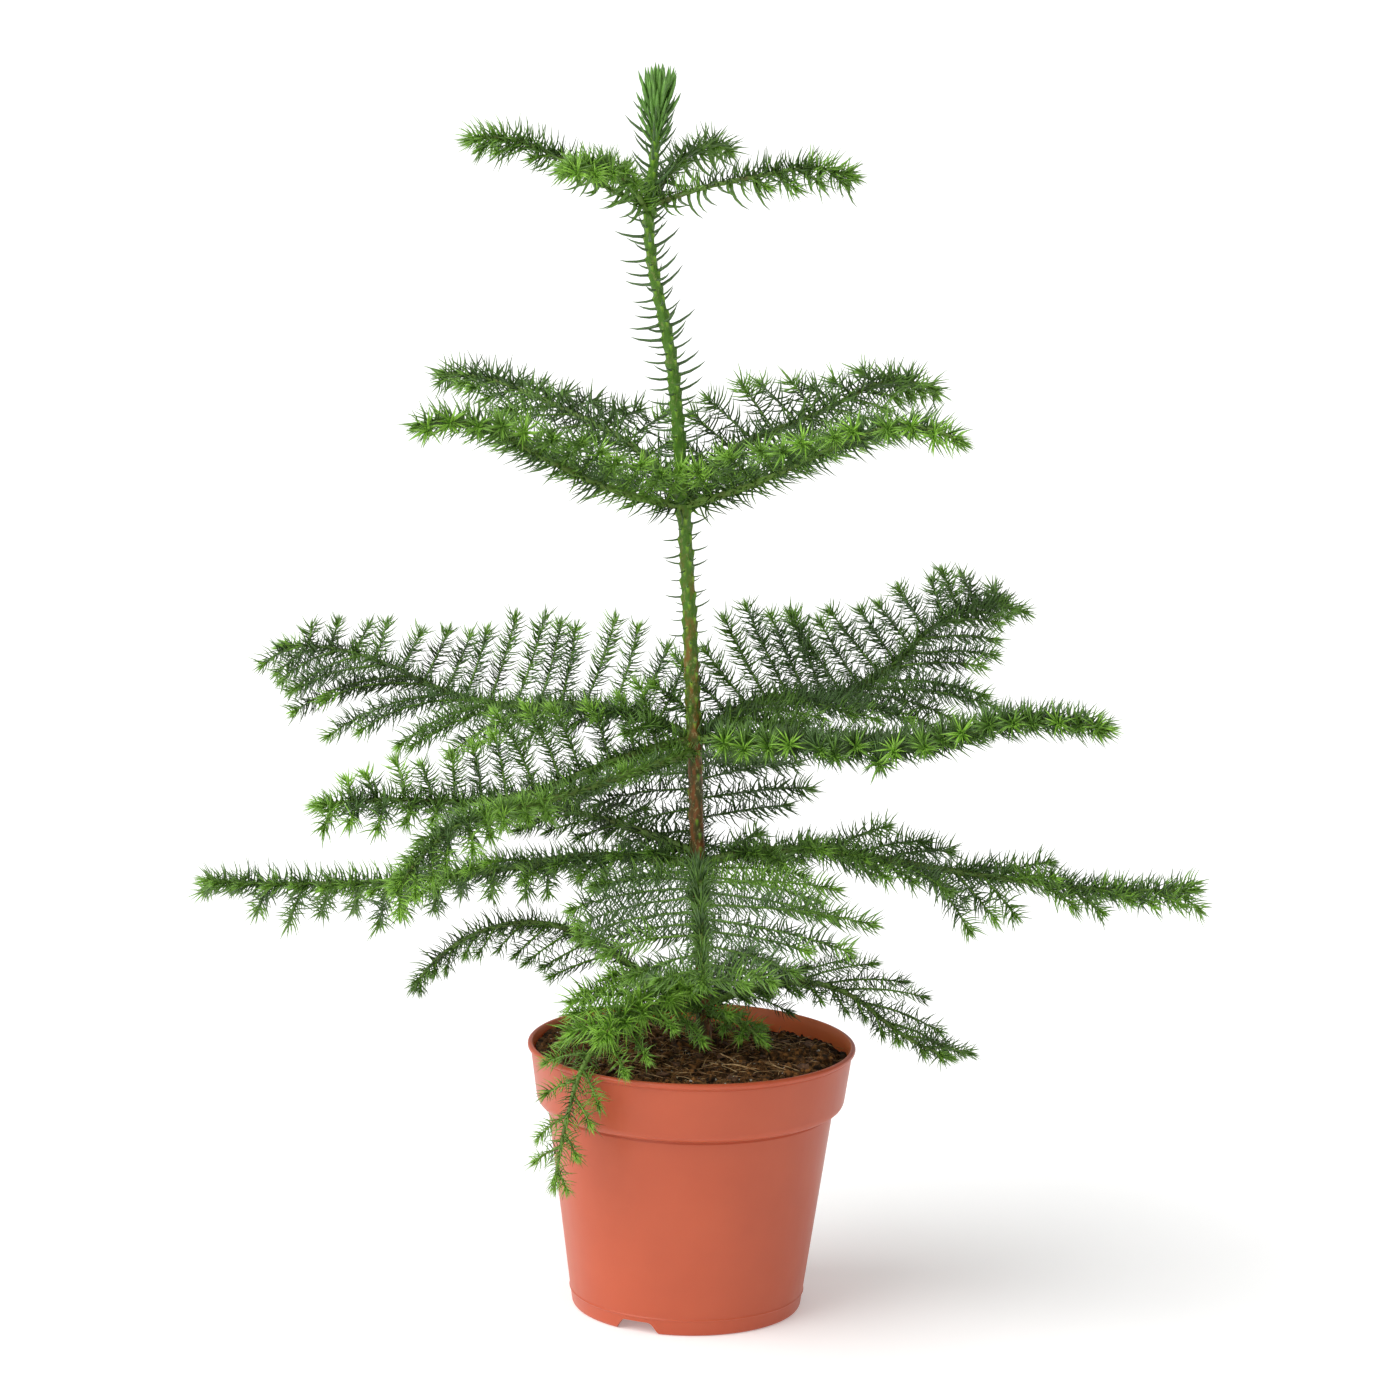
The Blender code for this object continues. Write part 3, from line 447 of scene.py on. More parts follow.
crumb_earth, tree, shader = finish("peat_crumbs", (0.055, 0.030, 0.018), 0.95)
shader.inputs["Specular IOR Level"].default_value = 0.2
patches = toned(tree, grain(tree, 330.0, 3.0), (
    (0.36, (0.016, 0.009, 0.004)), (0.50, (0.095, 0.042, 0.013)), (0.66, (0.300, 0.135, 0.040))))
# Crumbs in the low hollows fade to near black: painted shade.
painted_shade = ranged(tree, height_in(tree), 0.80, 0.0, *PAINTED_SHADE_HEIGHTS)
tree.links.new(blended(tree, painted_shade, patches, (0.008, 0.004, 0.001)), shader.inputs["Base Color"])
bumped(tree, shader, grain(tree, 2400.0, 4.0), 0.8, 0.2)
fibre_brown = mottled("coir_fibre", (0.22, 0.115, 0.05), 0.7, (130.0, 2.0), (
    (0.36, (0.150, 0.070, 0.022)), (0.50, (0.360, 0.190, 0.070)), (0.60, (0.720, 0.480, 0.240))))
bark_flake = mottled("composted_bark", (0.12, 0.05, 0.028), 0.85, (500.0, 4.0, (1.0, 1.0, 3.0)), (
    (0.36, (0.045, 0.022, 0.011)), (0.55, (0.150, 0.068, 0.030)), (0.72, (0.270, 0.150, 0.080))),
    (1800.0, 3.0), (0.7, 0.2))
grit_grey, tree, shader = finish("pale_grit", (0.42, 0.40, 0.35), 0.6)
specks = ranged(tree, grain(tree, 900.0), 0.0, 1.0)
tree.links.new(blended(tree, specks, (0.30, 0.27, 0.22), (0.58, 0.55, 0.50)), shader.inputs["Base Color"])
bumped(tree, shader, grain(tree, 3000.0), 0.4, 0.1)

scattered("soil_crumbs", bit_box("crumb", [crumb(k, 0.8, 2.1) for k in range(6)]), crumb_earth, 68.0,
          "potting_soil", Count_per_m2=160000.0, Smallest=0.4, Largest=1.5, Tilt=1.5, Seed=3)
scattered("soil_clods", bit_box("clod", [crumb(60 + k, 0.75, 6.0, 2) for k in range(6)]), crumb_earth, 65.0,
          "potting_soil", Count_per_m2=9000.0, Smallest=0.5, Largest=1.3, Tilt=1.2, Sink=-0.0006, Seed=14)
scattered("bark_flakes", bit_box("flake", [crumb(20 + k, 0.35, 5.0) for k in range(5)]), bark_flake, 64.0,
          "bark", Count_per_m2=9000.0, Smallest=0.5, Largest=1.4, Tilt=0.5, Sink=0.0005, Seed=8)
scattered("coir_fibres", bit_box("fibre", [coir(k, 9.0 + 1.6 * k, 0.11, 2.2) for k in range(8)]), fibre_brown,
          62.0, "bark", Count_per_m2=42000.0, Smallest=0.5, Largest=1.15, Tilt=0.25, Seed=5)
scattered("coir_straws", bit_box("straw", [coir(30 + k, 22.0, 0.30, 0.5) for k in range(4)]), fibre_brown,
          56.0, "bark", Count_per_m2=3600.0, Smallest=0.5, Largest=1.0, Tilt=0.40, Sink=0.0012, Seed=11)
scattered("soil_grit", bit_box("grit", [crumb(40 + k, 0.8, 1.1) for k in range(3)]), grit_grey, 66.0,
          "potting_soil", Count_per_m2=14000.0, Smallest=0.4, Largest=1.2, Tilt=1.5, Sink=0.0003, Seed=2)
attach(crust, "root")
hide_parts("soil")


# ================================================================ trunk
# One woody stem out of the root ball: green and ridged under last year's needles above, turning
# brown and flecked with cork lower down. Each needle stands on a swollen foot that runs down the
# bark, and the stem thickens where a whorl of branches leaves it.

TRUNK_LINE = ((117.0, 6.0), (140.0, 5.0), (206.0, 1.0), (264.0, -2.0), (370.0, -9.0), (433.0, -15.4),
              (495.0, -27.0), (528.0, -25.0), (565.0, -23.0))
TRUNK_GIRTH = ((110.0, 6.6), (117.0, 5.2), (121.0, 4.2), (128.0, 3.4), (270.0, 3.2), (370.0, 2.8),
               (430.0, 2.5), (500.0, 2.0), (546.0, 1.4), (556.0, 0.8))
TRUNK_FOOT, TRUNK_TIP = 112.0, 556.0
TRUNK_STEP, TRUNK_SIDES = 0.7, 44
WHORLS = (140.0, 206.0, 264.0, 370.0, 503.0)
COLLAR, COLLAR_REACH = 0.9, 5.0
GOLDEN = 2.39996
NEEDLE_FOOT = 0.95           # how far a needle's foot swells the bark
NEEDLE_START = 212.0         # the lowest scar or needle
NEEDLES_FROM = 262.0         # below this height few needles are left
NEEDLE_GROWTH = ((214.0, 4.0), (250.0, 5.0), (280.0, 5.5), (330.0, 7.0), (372.0, 8.0), (400.0, 10.0),
                 (430.0, 12.0), (500.0, 13.0), (540.0, 12.0))
NEEDLE_STEPS = ((262.0, 1.30), (380.0, 1.45), (500.0, 1.30), (545.0, 0.80))


def along(stations, height):
    """Value at a height, eased between (height, value) stations."""
    heights, values = zip(*stations)
    place = int(np.clip(np.searchsorted(heights, height) - 1, 0, len(heights) - 2))
    low, high = heights[place], heights[place + 1]
    share = float(np.clip((height - low) / (high - low), 0.0, 1.0))
    slopes = np.gradient(np.array(values), np.array(heights))
    bend_low, bend_high = slopes[place] * (high - low), slopes[place + 1] * (high - low)
    square, cube = share ** 2, share ** 3
    return ((2 * cube - 3 * square + 1) * values[place] + (cube - 2 * square + share) * bend_low
            + (3 * square - 2 * cube) * values[place + 1] + (cube - square) * bend_high)


def trunk_point(height):
    """The trunk's middle at a height."""
    return np.array([along(TRUNK_LINE, height), 0.0, height])


def trunk_radius(height):
    """The bark's radius at a height, with the swelling of a whorl."""
    swelling = max(math.exp(-((height - level) / COLLAR_REACH) ** 2) for level in WHORLS)
    return float(np.interp(height, *zip(*TRUNK_GIRTH))) + COLLAR * swelling


draw = np.random.default_rng(4)
trunk_needles = []               # (height, turn, length) of each needle that the trunk carries
height, turn = NEEDLE_START, 0.0
while height < TRUNK_TIP - 12.0:
    if height > NEEDLES_FROM or draw.random() < 0.25:
        length = np.interp(height, *zip(*NEEDLE_GROWTH)) * draw.uniform(0.85, 1.12)
        trunk_needles.append((height, turn, length))
    height += np.interp(height, *zip(*NEEDLE_STEPS)) * draw.uniform(0.8, 1.2)
    turn += GOLDEN + draw.uniform(-0.2, 0.2)
feet = np.array(trunk_needles)

heights = np.arange(TRUNK_FOOT, TRUNK_TIP, TRUNK_STEP)
turns = np.linspace(0.0, math.tau, TRUNK_SIDES, endpoint=False)
rings, on_foot = [], []
for height in heights:
    middle, radius = trunk_point(height), trunk_radius(height)
    near = feet[np.abs(feet[:, 0] - height) < 7.0]
    below = near[:, 0][:, None] - height
    apart = (turns[None, :] - near[:, 1][:, None] + math.pi) % math.tau - math.pi
    rise = np.where(below > 0, np.exp(-(below / 3.2) ** 2), np.exp(-(below / 0.7) ** 2))
    foot = (np.exp(-(apart * radius / 0.85) ** 2) * rise).max(0) if len(near) else np.zeros(TRUNK_SIDES)
    cork = np.interp(height, (200.0, 290.0), (1.0, 0.25))
    rough = np.array([noise.noise(Vector((x / 1.5, y / 1.5, height / 3.2)))
                      + 0.6 * noise.noise(Vector((x, y, height / 0.9)))
                      for x, y, _ in circle(radius, height, turns)]) * 0.28 * cork
    reach = radius * (1.0 if height > 270.0 else 0.98) + NEEDLE_FOOT * foot + rough
    on_foot.append(foot)
    rings.append([(middle[0] + r * math.cos(a), middle[1] + r * math.sin(a), height)
                  for r, a in zip(reach, turns)])
foot_point, top_point = trunk_point(TRUNK_FOOT), trunk_point(heights[-1]) + [0, 0, 0.6]
mesh = lofted("trunk_bark", [[foot_point], *rings, [top_point]])
mesh.attributes.new("foot", "FLOAT", "POINT").data.foreach_set("value", [0.0, *np.concatenate(on_foot), 0.0])
smooth(mesh, 70.0)
trunk_bark = link("trunk_bark", mesh)

bark, tree, shader = finish("trunk_bark", (0.20, 0.25, 0.05), 0.55)
shader.inputs["Specular IOR Level"].default_value = 0.35
level = height_in(tree)
rise = ranged(tree, level, 0.0, 1.0, 0.112, 0.556)
young = toned(tree, rise, (
    (0.00, (0.050, 0.040, 0.010)), (0.18, (0.060, 0.050, 0.010)), (0.30, (0.070, 0.065, 0.010)),
    (0.38, (0.060, 0.105, 0.006)), (0.48, (0.062, 0.165, 0.005)), (0.80, (0.066, 0.175, 0.007)),
    (1.00, (0.100, 0.250, 0.014))))
streaks = ranged(tree, grain(tree, 230.0, 4.0, (1.0, 1.0, 0.35), 0.65), 0.0, 1.0, 0.47, 0.60)
rusty = maths(tree, "MULTIPLY", streaks, ranged(tree, level, 0.9, 0.0, 0.270, 0.390))
aged = blended(tree, rusty, young, (0.270, 0.085, 0.020))
on_foot = joined(tree, "ShaderNodeAttribute", attribute_name="foot").outputs["Fac"]
# The swollen needle feet are painted a paler green: partly the feet's own paler green, partly painted
# highlight on their swellings.
raised = ranged(tree, on_foot, 0.0, 0.80, 0.30, 0.95)
feet_highlight_painted = blended(tree, raised, aged, (0.260, 0.500, 0.035))
cork = ranged(tree, grain(tree, 700.0, 4.0, (1.0, 1.0, 0.6), 0.7), 0.0, 0.65, 0.56, 0.63)
flecks = maths(tree, "MULTIPLY", cork, ranged(tree, level, 1.0, 0.45, 0.240, 0.320))
tree.links.new(blended(tree, flecks, feet_highlight_painted, (0.400, 0.370, 0.150)), shader.inputs["Base Color"])
tree.links.new(ranged(tree, grain(tree, 500.0), 0.34, 0.62), shader.inputs["Roughness"])
bumped(tree, shader, grain(tree, 1500.0, 4.0, (1.0, 1.0, 0.5), 0.7), 0.8, 0.3)
trunk_bark.data.materials.append(bark)
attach(trunk_bark, "root")
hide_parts("trunk")


# ================================================================ branch wood
# Each whorl is a ring of long limbs straight out of the trunk. A limb carries two rows of thin green
# twigs, side by side, which stay flat like a fern or stand up from it, and droop a little with age.
# The limbs are woody near the trunk and green outside; twigs stay green to the end.

# A branch: the side it is on, its turn round the trunk from +X, its length, and its climb over the
# horizontal at even steps from trunk to tip. It leaves the trunk "lift" over its whorl and is "bare"
# up to its first twig; twigs then leave in turn, left and right, two in each "step". Each of its two
# rows, left then right seen from above, has a reach, a spread from the branch that closes towards
# the tip, a tilt over its plane that falls towards the tip, and ends that hang. "sizes" gives a row's
# first twig, the place of its longest, and its last twig, as shares. Level twigs "sag"; "wild" is how
# far their tilt varies. "coat" names the needles' mix of greens, "needle" and "twig_needle" are their
# lengths on the branch and on its twigs, and "dense" is how close they stand.


def whorl(name, height, girth, branches, **rule):
    """One ring of branches with the values that its branches share."""
    for branch in branches:
        yield dict(rule, **dict(branch, name=f"{name}_{branch['side']}", girth=girth,
                                height=height + branch.get("lift", 0.0)))


BRANCHES = (
    *whorl("top", 503.0, 1.3, (
        dict(side="left", turn=185, length=93, climb=(19, 33, 19, -24), bare=38.0, reach=(17, 14),
             tilt=(-58, 5)),
        dict(side="right", turn=-8, length=99, climb=(25, 14, 11, -30), bare=40.0, reach=(14, 17),
             tilt=(5, -58)),
        dict(side="front", turn=240, length=81, climb=(44, 29, 1, -7), lift=-3.0, bare=22.0,
             reach=(22, 18), tilt=(-12, 5), coat="young"),
        dict(side="back", turn=55, length=74, climb=(44.5, 30, 10, -42), lift=2.0, bare=22.0,
             reach=(10, 10), tilt=(-20, -20)),
    ), step=12.0, spread=(48, 48), close=(10, 10), fall=(0, 0), hang=(0.0, 0.0),
        sizes=((0.8, 0.4, 0.8),) * 2, coat="top", needle=11.0, twig_needle=9.2, dense=1.35),
    *whorl("upper", 370.0, 1.9, (
        dict(side="left_front", turn=222, length=167, climb=(9, 22, 28, -17),
             reach=(36, 30), tilt=(50, 34), fall=(62, 44), coat="bright"),
        dict(side="left_back", turn=138, length=172, climb=(48, 15, 12, -8),
             reach=(33, 35), tilt=(8, 28), spread=(75, 90)),
        dict(side="right_front", turn=-40, length=169, climb=(16, 25, 23, -26),
             reach=(30, 36), tilt=(34, 50), fall=(44, 62), coat="bright"),
        dict(side="right_back", turn=42, length=175, climb=(52, 10, 20, -28),
             reach=(37, 36), tilt=(48, 5), spread=(95, 72)),
    ), step=13.0, spread=(75, 75), close=(20, 20), fall=(40, 40), hang=(0.05, 0.05),
        sizes=((0.8, 0.4, 0.3),) * 2, coat="grey", needle=12.0, twig_needle=10.4, dense=0.70),
    *whorl("middle", 264.0, 2.1, (
        dict(side="left_back", turn=155, length=224, climb=(23, -10, 21, -11), reach=(66, 54),
             spread=(80, 100), close=(44, 12), tilt=(14, 68), fall=(44, 18), hang=(0.18, 0.02),
             sizes=((0.6, 0.58, 0.25), (0.6, 0.4, 0.27)), coat="grey", needle=8.0, twig_needle=8.4,
             dense=1.5),
        dict(side="left_front", turn=205, length=189, climb=(-8, -19, 8, -5), reach=(26, 48),
             spread=(72, 104), tilt=(6, 70), fall=(14, 12), hang=(0.22, 0.14),
             sizes=((0.3, 0.85, 0.7), (0.8, 0.4, 0.25)), coat="bright", dense=1.6),
        dict(side="right_back", turn=45, length=225, climb=(27, -9, 34, -12), reach=(56, 66),
             spread=(103, 76), close=(34, 36), tilt=(54, 12), fall=(14, 22), hang=(0.02, 0.12),
             sizes=((0.7, 0.4, 0.36), (0.65, 0.45, 0.27)), coat="grey", needle=8.5, twig_needle=9.0,
             dense=1.65),
        dict(side="right_front", turn=-25, length=206, climb=(4, 1, 22, -11), reach=(38, 36), spread=(68, 78),
             tilt=(20, 10), fall=(14, 0), step=10.5, coat="tube", needle=11.0, twig_needle=10.0, dense=1.5),
        dict(side="front", turn=235, length=225, climb=(-4, -3, 2, -46), lift=-5.5, bare=116.0,
             reach=(27, 22), spread=(54, 54), tilt=(0, 0), hang=(0.15, 0.15),
             sizes=((0.6, 0.6, 0.5),) * 2, coat="bright", needle=7.5, dense=1.55),
    ), step=12.5, close=(20, 20), fall=(10, 10), hang=(0.06, 0.06), sizes=((0.8, 0.4, 0.3),) * 2,
        needle=9.5, twig_needle=8.8, dense=1.36),
    *whorl("lower", 206.0, 2.2, (
        dict(side="left", turn=182, length=229, climb=(11, -12, -3, 3), reach=(34, 36), spread=(62, 100),
             close=(20, 26), tilt=(26, -36), fall=(14, -6), hang=(0.06, 0.12),
             sizes=((0.8, 0.3, 0.35), (0.5, 0.75, 0.62)), coat="leafy", needle=10.5, twig_needle=8.8,
             dense=1.1),
        dict(side="right", turn=-5, length=232, climb=(20, -9, -5, 5), reach=(42, 38), spread=(52, 64),
             close=(28, 28), tilt=(12, -14), fall=(4, 0), sizes=((0.75, 0.3, 0.5),) * 2, wild=26.0,
             coat="leafy", needle=9.0, twig_needle=9.5),
        dict(side="front", turn=271, length=185, climb=(5, -2, -6, -15), reach=(77, 66), spread=(93, 93),
             close=(14, 14), tilt=(1, 1), fall=(4, 4), hang=(0.05, 0.10), sag=0.04,
             sizes=((0.78, 0.5, 0.3),) * 2, wild=3.0, step=18.0, coat="leafy", needle=9.0, twig_needle=9.5),
        dict(side="back", turn=93, length=112, climb=(26, 30, 12, 0), lift=-2.5, reach=(54, 62),
             spread=(90, 84), tilt=(-8, -4), fall=(0, 0), hang=(0.16, 0.10), sag=0.0, step=16.0,
             sizes=((0.7, 0.5, 0.7),) * 2, coat="dark", twig_needle=10.0),
        dict(side="back_left", turn=140, length=125, climb=(12, 6, 0, -14), lift=4.5, bare=46.0,
             reach=(36, 34), spread=(75, 85), tilt=(0, 10), coat="deep"),
    ), step=12.5, close=(20, 20), fall=(8, 8), hang=(0.06, 0.06), sizes=((0.85, 0.3, 0.3),) * 2,
        wild=9.0, coat="dark", needle=9.0, twig_needle=8.0, dense=1.08),
    *whorl("base", 140.0, 1.9, (
        dict(side="left", turn=175, length=160, climb=(24, 34, -19, -65), reach=(34, 28), spread=(65, 70),
             tilt=(-40, -10), sizes=((0.5, 0.3, 0.27),) * 2, needle=9.0),
        dict(side="right", turn=-20, length=131, climb=(29, 12, -38, -10), reach=(48, 27), spread=(48, 60),
             close=(8, 20), tilt=(13, 0), fall=(-8, 10), sizes=((0.7, 0.45, 0.5), (0.8, 0.3, 0.3))),
        dict(side="hanging", turn=229, length=148, climb=(18, -4, -68, -82), lift=-2.0, step=15.0,
             reach=(46, 32), spread=(76, 82), close=(26, 26), tilt=(4, 0), fall=(0, 0),
             sizes=((0.85, 0.24, 0.25), (0.8, 0.3, 0.6)), needle=7.5, twig_needle=7.0, coat="lively"),
        # the low front spray takes the coat of painted light
        dict(side="front", turn=237, length=95, climb=(36, 2, -20, -26), lift=5.0, reach=(22, 44),
             spread=(60, 84), tilt=(4, 6), sizes=((0.8, 0.3, 0.3), (0.9, 0.3, 0.4)), step=14.0,
             coat="painted_lit", needle=11.5, twig_needle=11.0),
        dict(side="back", turn=75, length=95, climb=(5, 5, 5, 0), reach=(34, 40), spread=(85, 85),
             tilt=(0, 0)),
        dict(side="small", turn=312, length=48, climb=(15, 0, -20, -30), lift=-4.0,
             reach=(18, 18), spread=(70, 70), tilt=(0, 0), needle=7.0, twig_needle=6.5, coat="lively"),
    ), step=11.5, close=(20, 20), fall=(10, 10), hang=(0.06, 0.06), sizes=((0.8, 0.3, 0.3),) * 2,
        coat="deep", needle=8.0, twig_needle=7.0, dense=0.92),
)
FIRST_TWIG = 12.0
LAST_TWIG = 9.0              # the last twig leaves this far short of a limb's end
TWIG_CUTS = (1.0, 0.85, 0.7, 0.55, 0.4)      # a twig that meets the pot is cut back by these shares
ROOM, ROOT_ROOM = 3.5, 1.5   # a twig's clearance from the pot, further out and at its root
LIMB_END = 3.0               # bare wood stops this far short of a limb's full length
TWIG_END = 5.0               # the needles at a twig's end make up this much of its reach
TWIG_FADE = 1.3
TWIG_GIRTH = (0.62, 0.34)
LIMB_TIP_GIRTH = 0.55


class Limb:
    """A branch's middle line: points and directions at even steps from the trunk's middle."""

    def __init__(self, branch, count=64):
        share = np.linspace(0.0, 1.0, count)
        climb = np.radians(np.interp(share, np.linspace(0, 1, len(branch["climb"])), branch["climb"]))
        self.turn = math.radians(branch["turn"])
        self.heading = np.stack([np.cos(climb) * math.cos(self.turn), np.cos(climb) * math.sin(self.turn),
                                 np.sin(climb)], axis=1)
        step = branch["length"] / (count - 1)
        moves = (self.heading[1:] + self.heading[:-1]) / 2 * step
        self.points = trunk_point(branch["height"]) + np.vstack([np.zeros(3), np.cumsum(moves, axis=0)])
        self.distance = share * branch["length"]

    def at(self, distance):
        """The point and the direction at a distance along the line."""
        point, heading = (np.array([np.interp(distance, self.distance, row) for row in rows.T])
                          for rows in (self.points, self.heading))
        return point, heading / np.linalg.norm(heading)


def twig_share(sizes, place):
    """Length of a twig at a share of the leafy stretch, as a share of the row's longest."""
    first, peak, last = sizes
    if place < peak:
        return first + (1 - first) * math.sin(place / peak * math.pi / 2)
    return last + (1 - last) * (1 - (place - peak) / (1 - peak)) ** TWIG_FADE


def clear_of_pot(points, room):
    """Whether points keep outside the pot's wall and over the potting mix."""
    for x, y, z in points:
        out = math.hypot(x, y)
        wall = np.interp(z, (0.0, 93.7, 98.0, POT_HEIGHT), (54.0, 66.0, 71.5, 75.5))
        level = SOIL_MIDDLE + 1.0 if out < 66.0 - room else POT_HEIGHT
        if z < level + room and out < wall + room:
            return False
    return True


def twig_line(root, heading, start, length, sag, hang, count=9):
    """Points of a twig: it leaves along start and sweeps forward. A level one sags, and ends may hang."""
    share = np.linspace(0.0, 1.0, count)[:, None]
    down = np.array([0.0, 0.0, -1.0])
    sweep = heading * 0.10 + down * sag * math.hypot(start[0], start[1]) ** 2
    return root + length * (start * share + sweep * share ** 2 + down * hang * share ** 3)


draw = np.random.default_rng(12)
limbs = {branch["name"]: Limb(branch) for branch in BRANCHES}
limb_lines, twig_lines = [], []     # (points, girths) of the wood
twigs = []                          # (branch, place, points) of every twig
for branch in BRANCHES:
    limb = limbs[branch["name"]]
    places = np.arange(0.0, branch["length"] - LIMB_END, 2.5)
    girths = np.interp(places, (0.0, branch["length"]), (branch["girth"], LIMB_TIP_GIRTH))
    limb_lines.append(([limb.at(place)[0] for place in places], girths))
    first = branch.get("bare", FIRST_TWIG)
    count = int((branch["length"] - LAST_TWIG - first) / (branch["step"] / 2)) + 1
    for number in range(count):
        distance = first + (number + draw.uniform(-0.22, 0.22)) * branch["step"] / 2
        place = max(0.0, (distance - first) / (branch["length"] - first))
        row = number % 2
        root, heading = limb.at(distance)
        side = np.array([-math.sin(limb.turn), math.cos(limb.turn), 0.0])
        above = np.cross(heading, side)
        tilt = math.radians(branch["tilt"][row] - branch["fall"][row] * place
                            + draw.normal(0.0, branch.get("wild", 5.0)))
        spread = math.radians(branch["spread"][row] - branch["close"][row] * place + draw.normal(0.0, 4.0))
        outward = math.cos(tilt) * side * (1 if row == 0 else -1) + math.sin(tilt) * above
        start = math.cos(spread) * heading + math.sin(spread) * outward
        length = branch["reach"][row] * twig_share(branch["sizes"][row], place) * draw.uniform(0.86, 1.06)
        sag, hang = branch.get("sag", 0.10), branch["hang"][row] * draw.uniform(0.6, 1.4)
        for share in TWIG_CUTS:
            points = twig_line(root, heading, start, length * share, sag, hang)
            if clear_of_pot(points[2:], ROOM) and clear_of_pot(points[:2], ROOT_ROOM):
                wood = twig_line(root, heading, start, (length - TWIG_END) * share, sag, hang)
                twig_lines.append((wood, np.linspace(*TWIG_GIRTH, len(wood))))
                twigs.append((branch, place, wood))
                break

wood_tree, given = node_group("wood along lines", (
    ("Finish", "Material", None), ("Spacing", "Float", 0.002), ("Sides", "Int", 8), ("Relief", "Float", 0.0),
    ("Grain", "Float", 400.0)))
lines = joined(wood_tree, "GeometryNodeMeshToCurve", {"Mesh": given["Geometry"]})
spaced = joined(wood_tree, "GeometryNodeResampleCurve", mode="LENGTH", sockets={
    "Curve": lines.outputs["Curve"], "Length": given["Spacing"]})
girth = joined(wood_tree, "GeometryNodeInputNamedAttribute", {"Name": "girth"}, data_type="FLOAT")
ring = joined(wood_tree, "GeometryNodeCurvePrimitiveCircle", {"Radius": 1.0, "Resolution": given["Sides"]})
skin = joined(wood_tree, "GeometryNodeCurveToMesh", {
    "Curve": spaced.outputs["Curve"], "Profile Curve": ring.outputs["Curve"],
    "Scale": girth.outputs["Attribute"], "Fill Caps": True})
spots = joined(wood_tree, "ShaderNodeTexNoise", {"Scale": given["Grain"], "Detail": 2.0})
centred = maths(wood_tree, "SUBTRACT", spots.outputs["Fac"], 0.45)
raised = maths(wood_tree, "MULTIPLY", centred, given["Relief"])
normal = joined(wood_tree, "GeometryNodeInputNormal")
push = joined(wood_tree, "ShaderNodeVectorMath", {0: normal.outputs["Normal"], "Scale": raised},
              operation="SCALE")
worn = joined(wood_tree, "GeometryNodeSetPosition", {
    "Geometry": skin.outputs["Mesh"], "Offset": push.outputs["Vector"]})
soft = joined(wood_tree, "GeometryNodeSetShadeSmooth", {"Geometry": worn.outputs["Geometry"]})
ended(wood_tree, given, soft.outputs["Geometry"])


def wooden(name, lines, material, slot, nodes, **inputs):
    """One piece of wood from many (points, girths) lines."""
    corners, girths, edges = [], [], []
    for points, radii in lines:
        start = len(corners)
        corners += [tuple(np.asarray(point) * MM) for point in points]
        girths += [radius * MM for radius in radii]
        edges += [(start + k, start + k + 1) for k in range(len(points) - 1)]
    mesh = bpy.data.meshes.new(name)
    mesh.from_pydata(corners, edges, [])
    mesh.attributes.new("girth", "FLOAT", "POINT").data.foreach_set("value", girths)
    piece = run_tree(link(name, mesh), wood_tree, Finish=material, **inputs)
    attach(piece, "root")
    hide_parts(*nodes)
    return piece


limb_wood = mottled("limb_bark", (0.14, 0.20, 0.04), 0.6, (170.0, 4.0), (
    (0.30, (0.110, 0.110, 0.022)), (0.46, (0.105, 0.180, 0.024)), (0.70, (0.150, 0.280, 0.035))),
    (1700.0, 4.0), (0.5, 0.15))
twig_green = mottled("twig_skin", (0.16, 0.34, 0.05), 0.5, (120.0, 3.0), (
    (0.34, (0.095, 0.185, 0.022)), (0.52, (0.140, 0.280, 0.030)), (0.70, (0.190, 0.370, 0.040))),
    (2200.0, 2.0), (0.3, 0.1))
limb_nodes = sorted(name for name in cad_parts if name.startswith("bough_"))
leaf_nodes = sorted(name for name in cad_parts
                    if name.startswith("foliage_") and name != "foliage_leader")
wooden("limbs", limb_lines, limb_wood, "green_wood", limb_nodes,
       Spacing=0.0012, Sides=10, Relief=0.0009, Grain=520.0)
wooden("twigs", twig_lines, twig_green, "green_wood", leaf_nodes,
       Spacing=0.0025, Sides=5, Relief=0.0002, Grain=600.0)


# ================================================================ needles
# Every limb and twig is closely set with awl-shaped needles that curve forward. Old needles are
# deep or greyish green, and the soft new ones at the ends are bright yellow-green. They grow in a
# spiral out of the skin of the wood, shorter on the twigs than on the limbs.

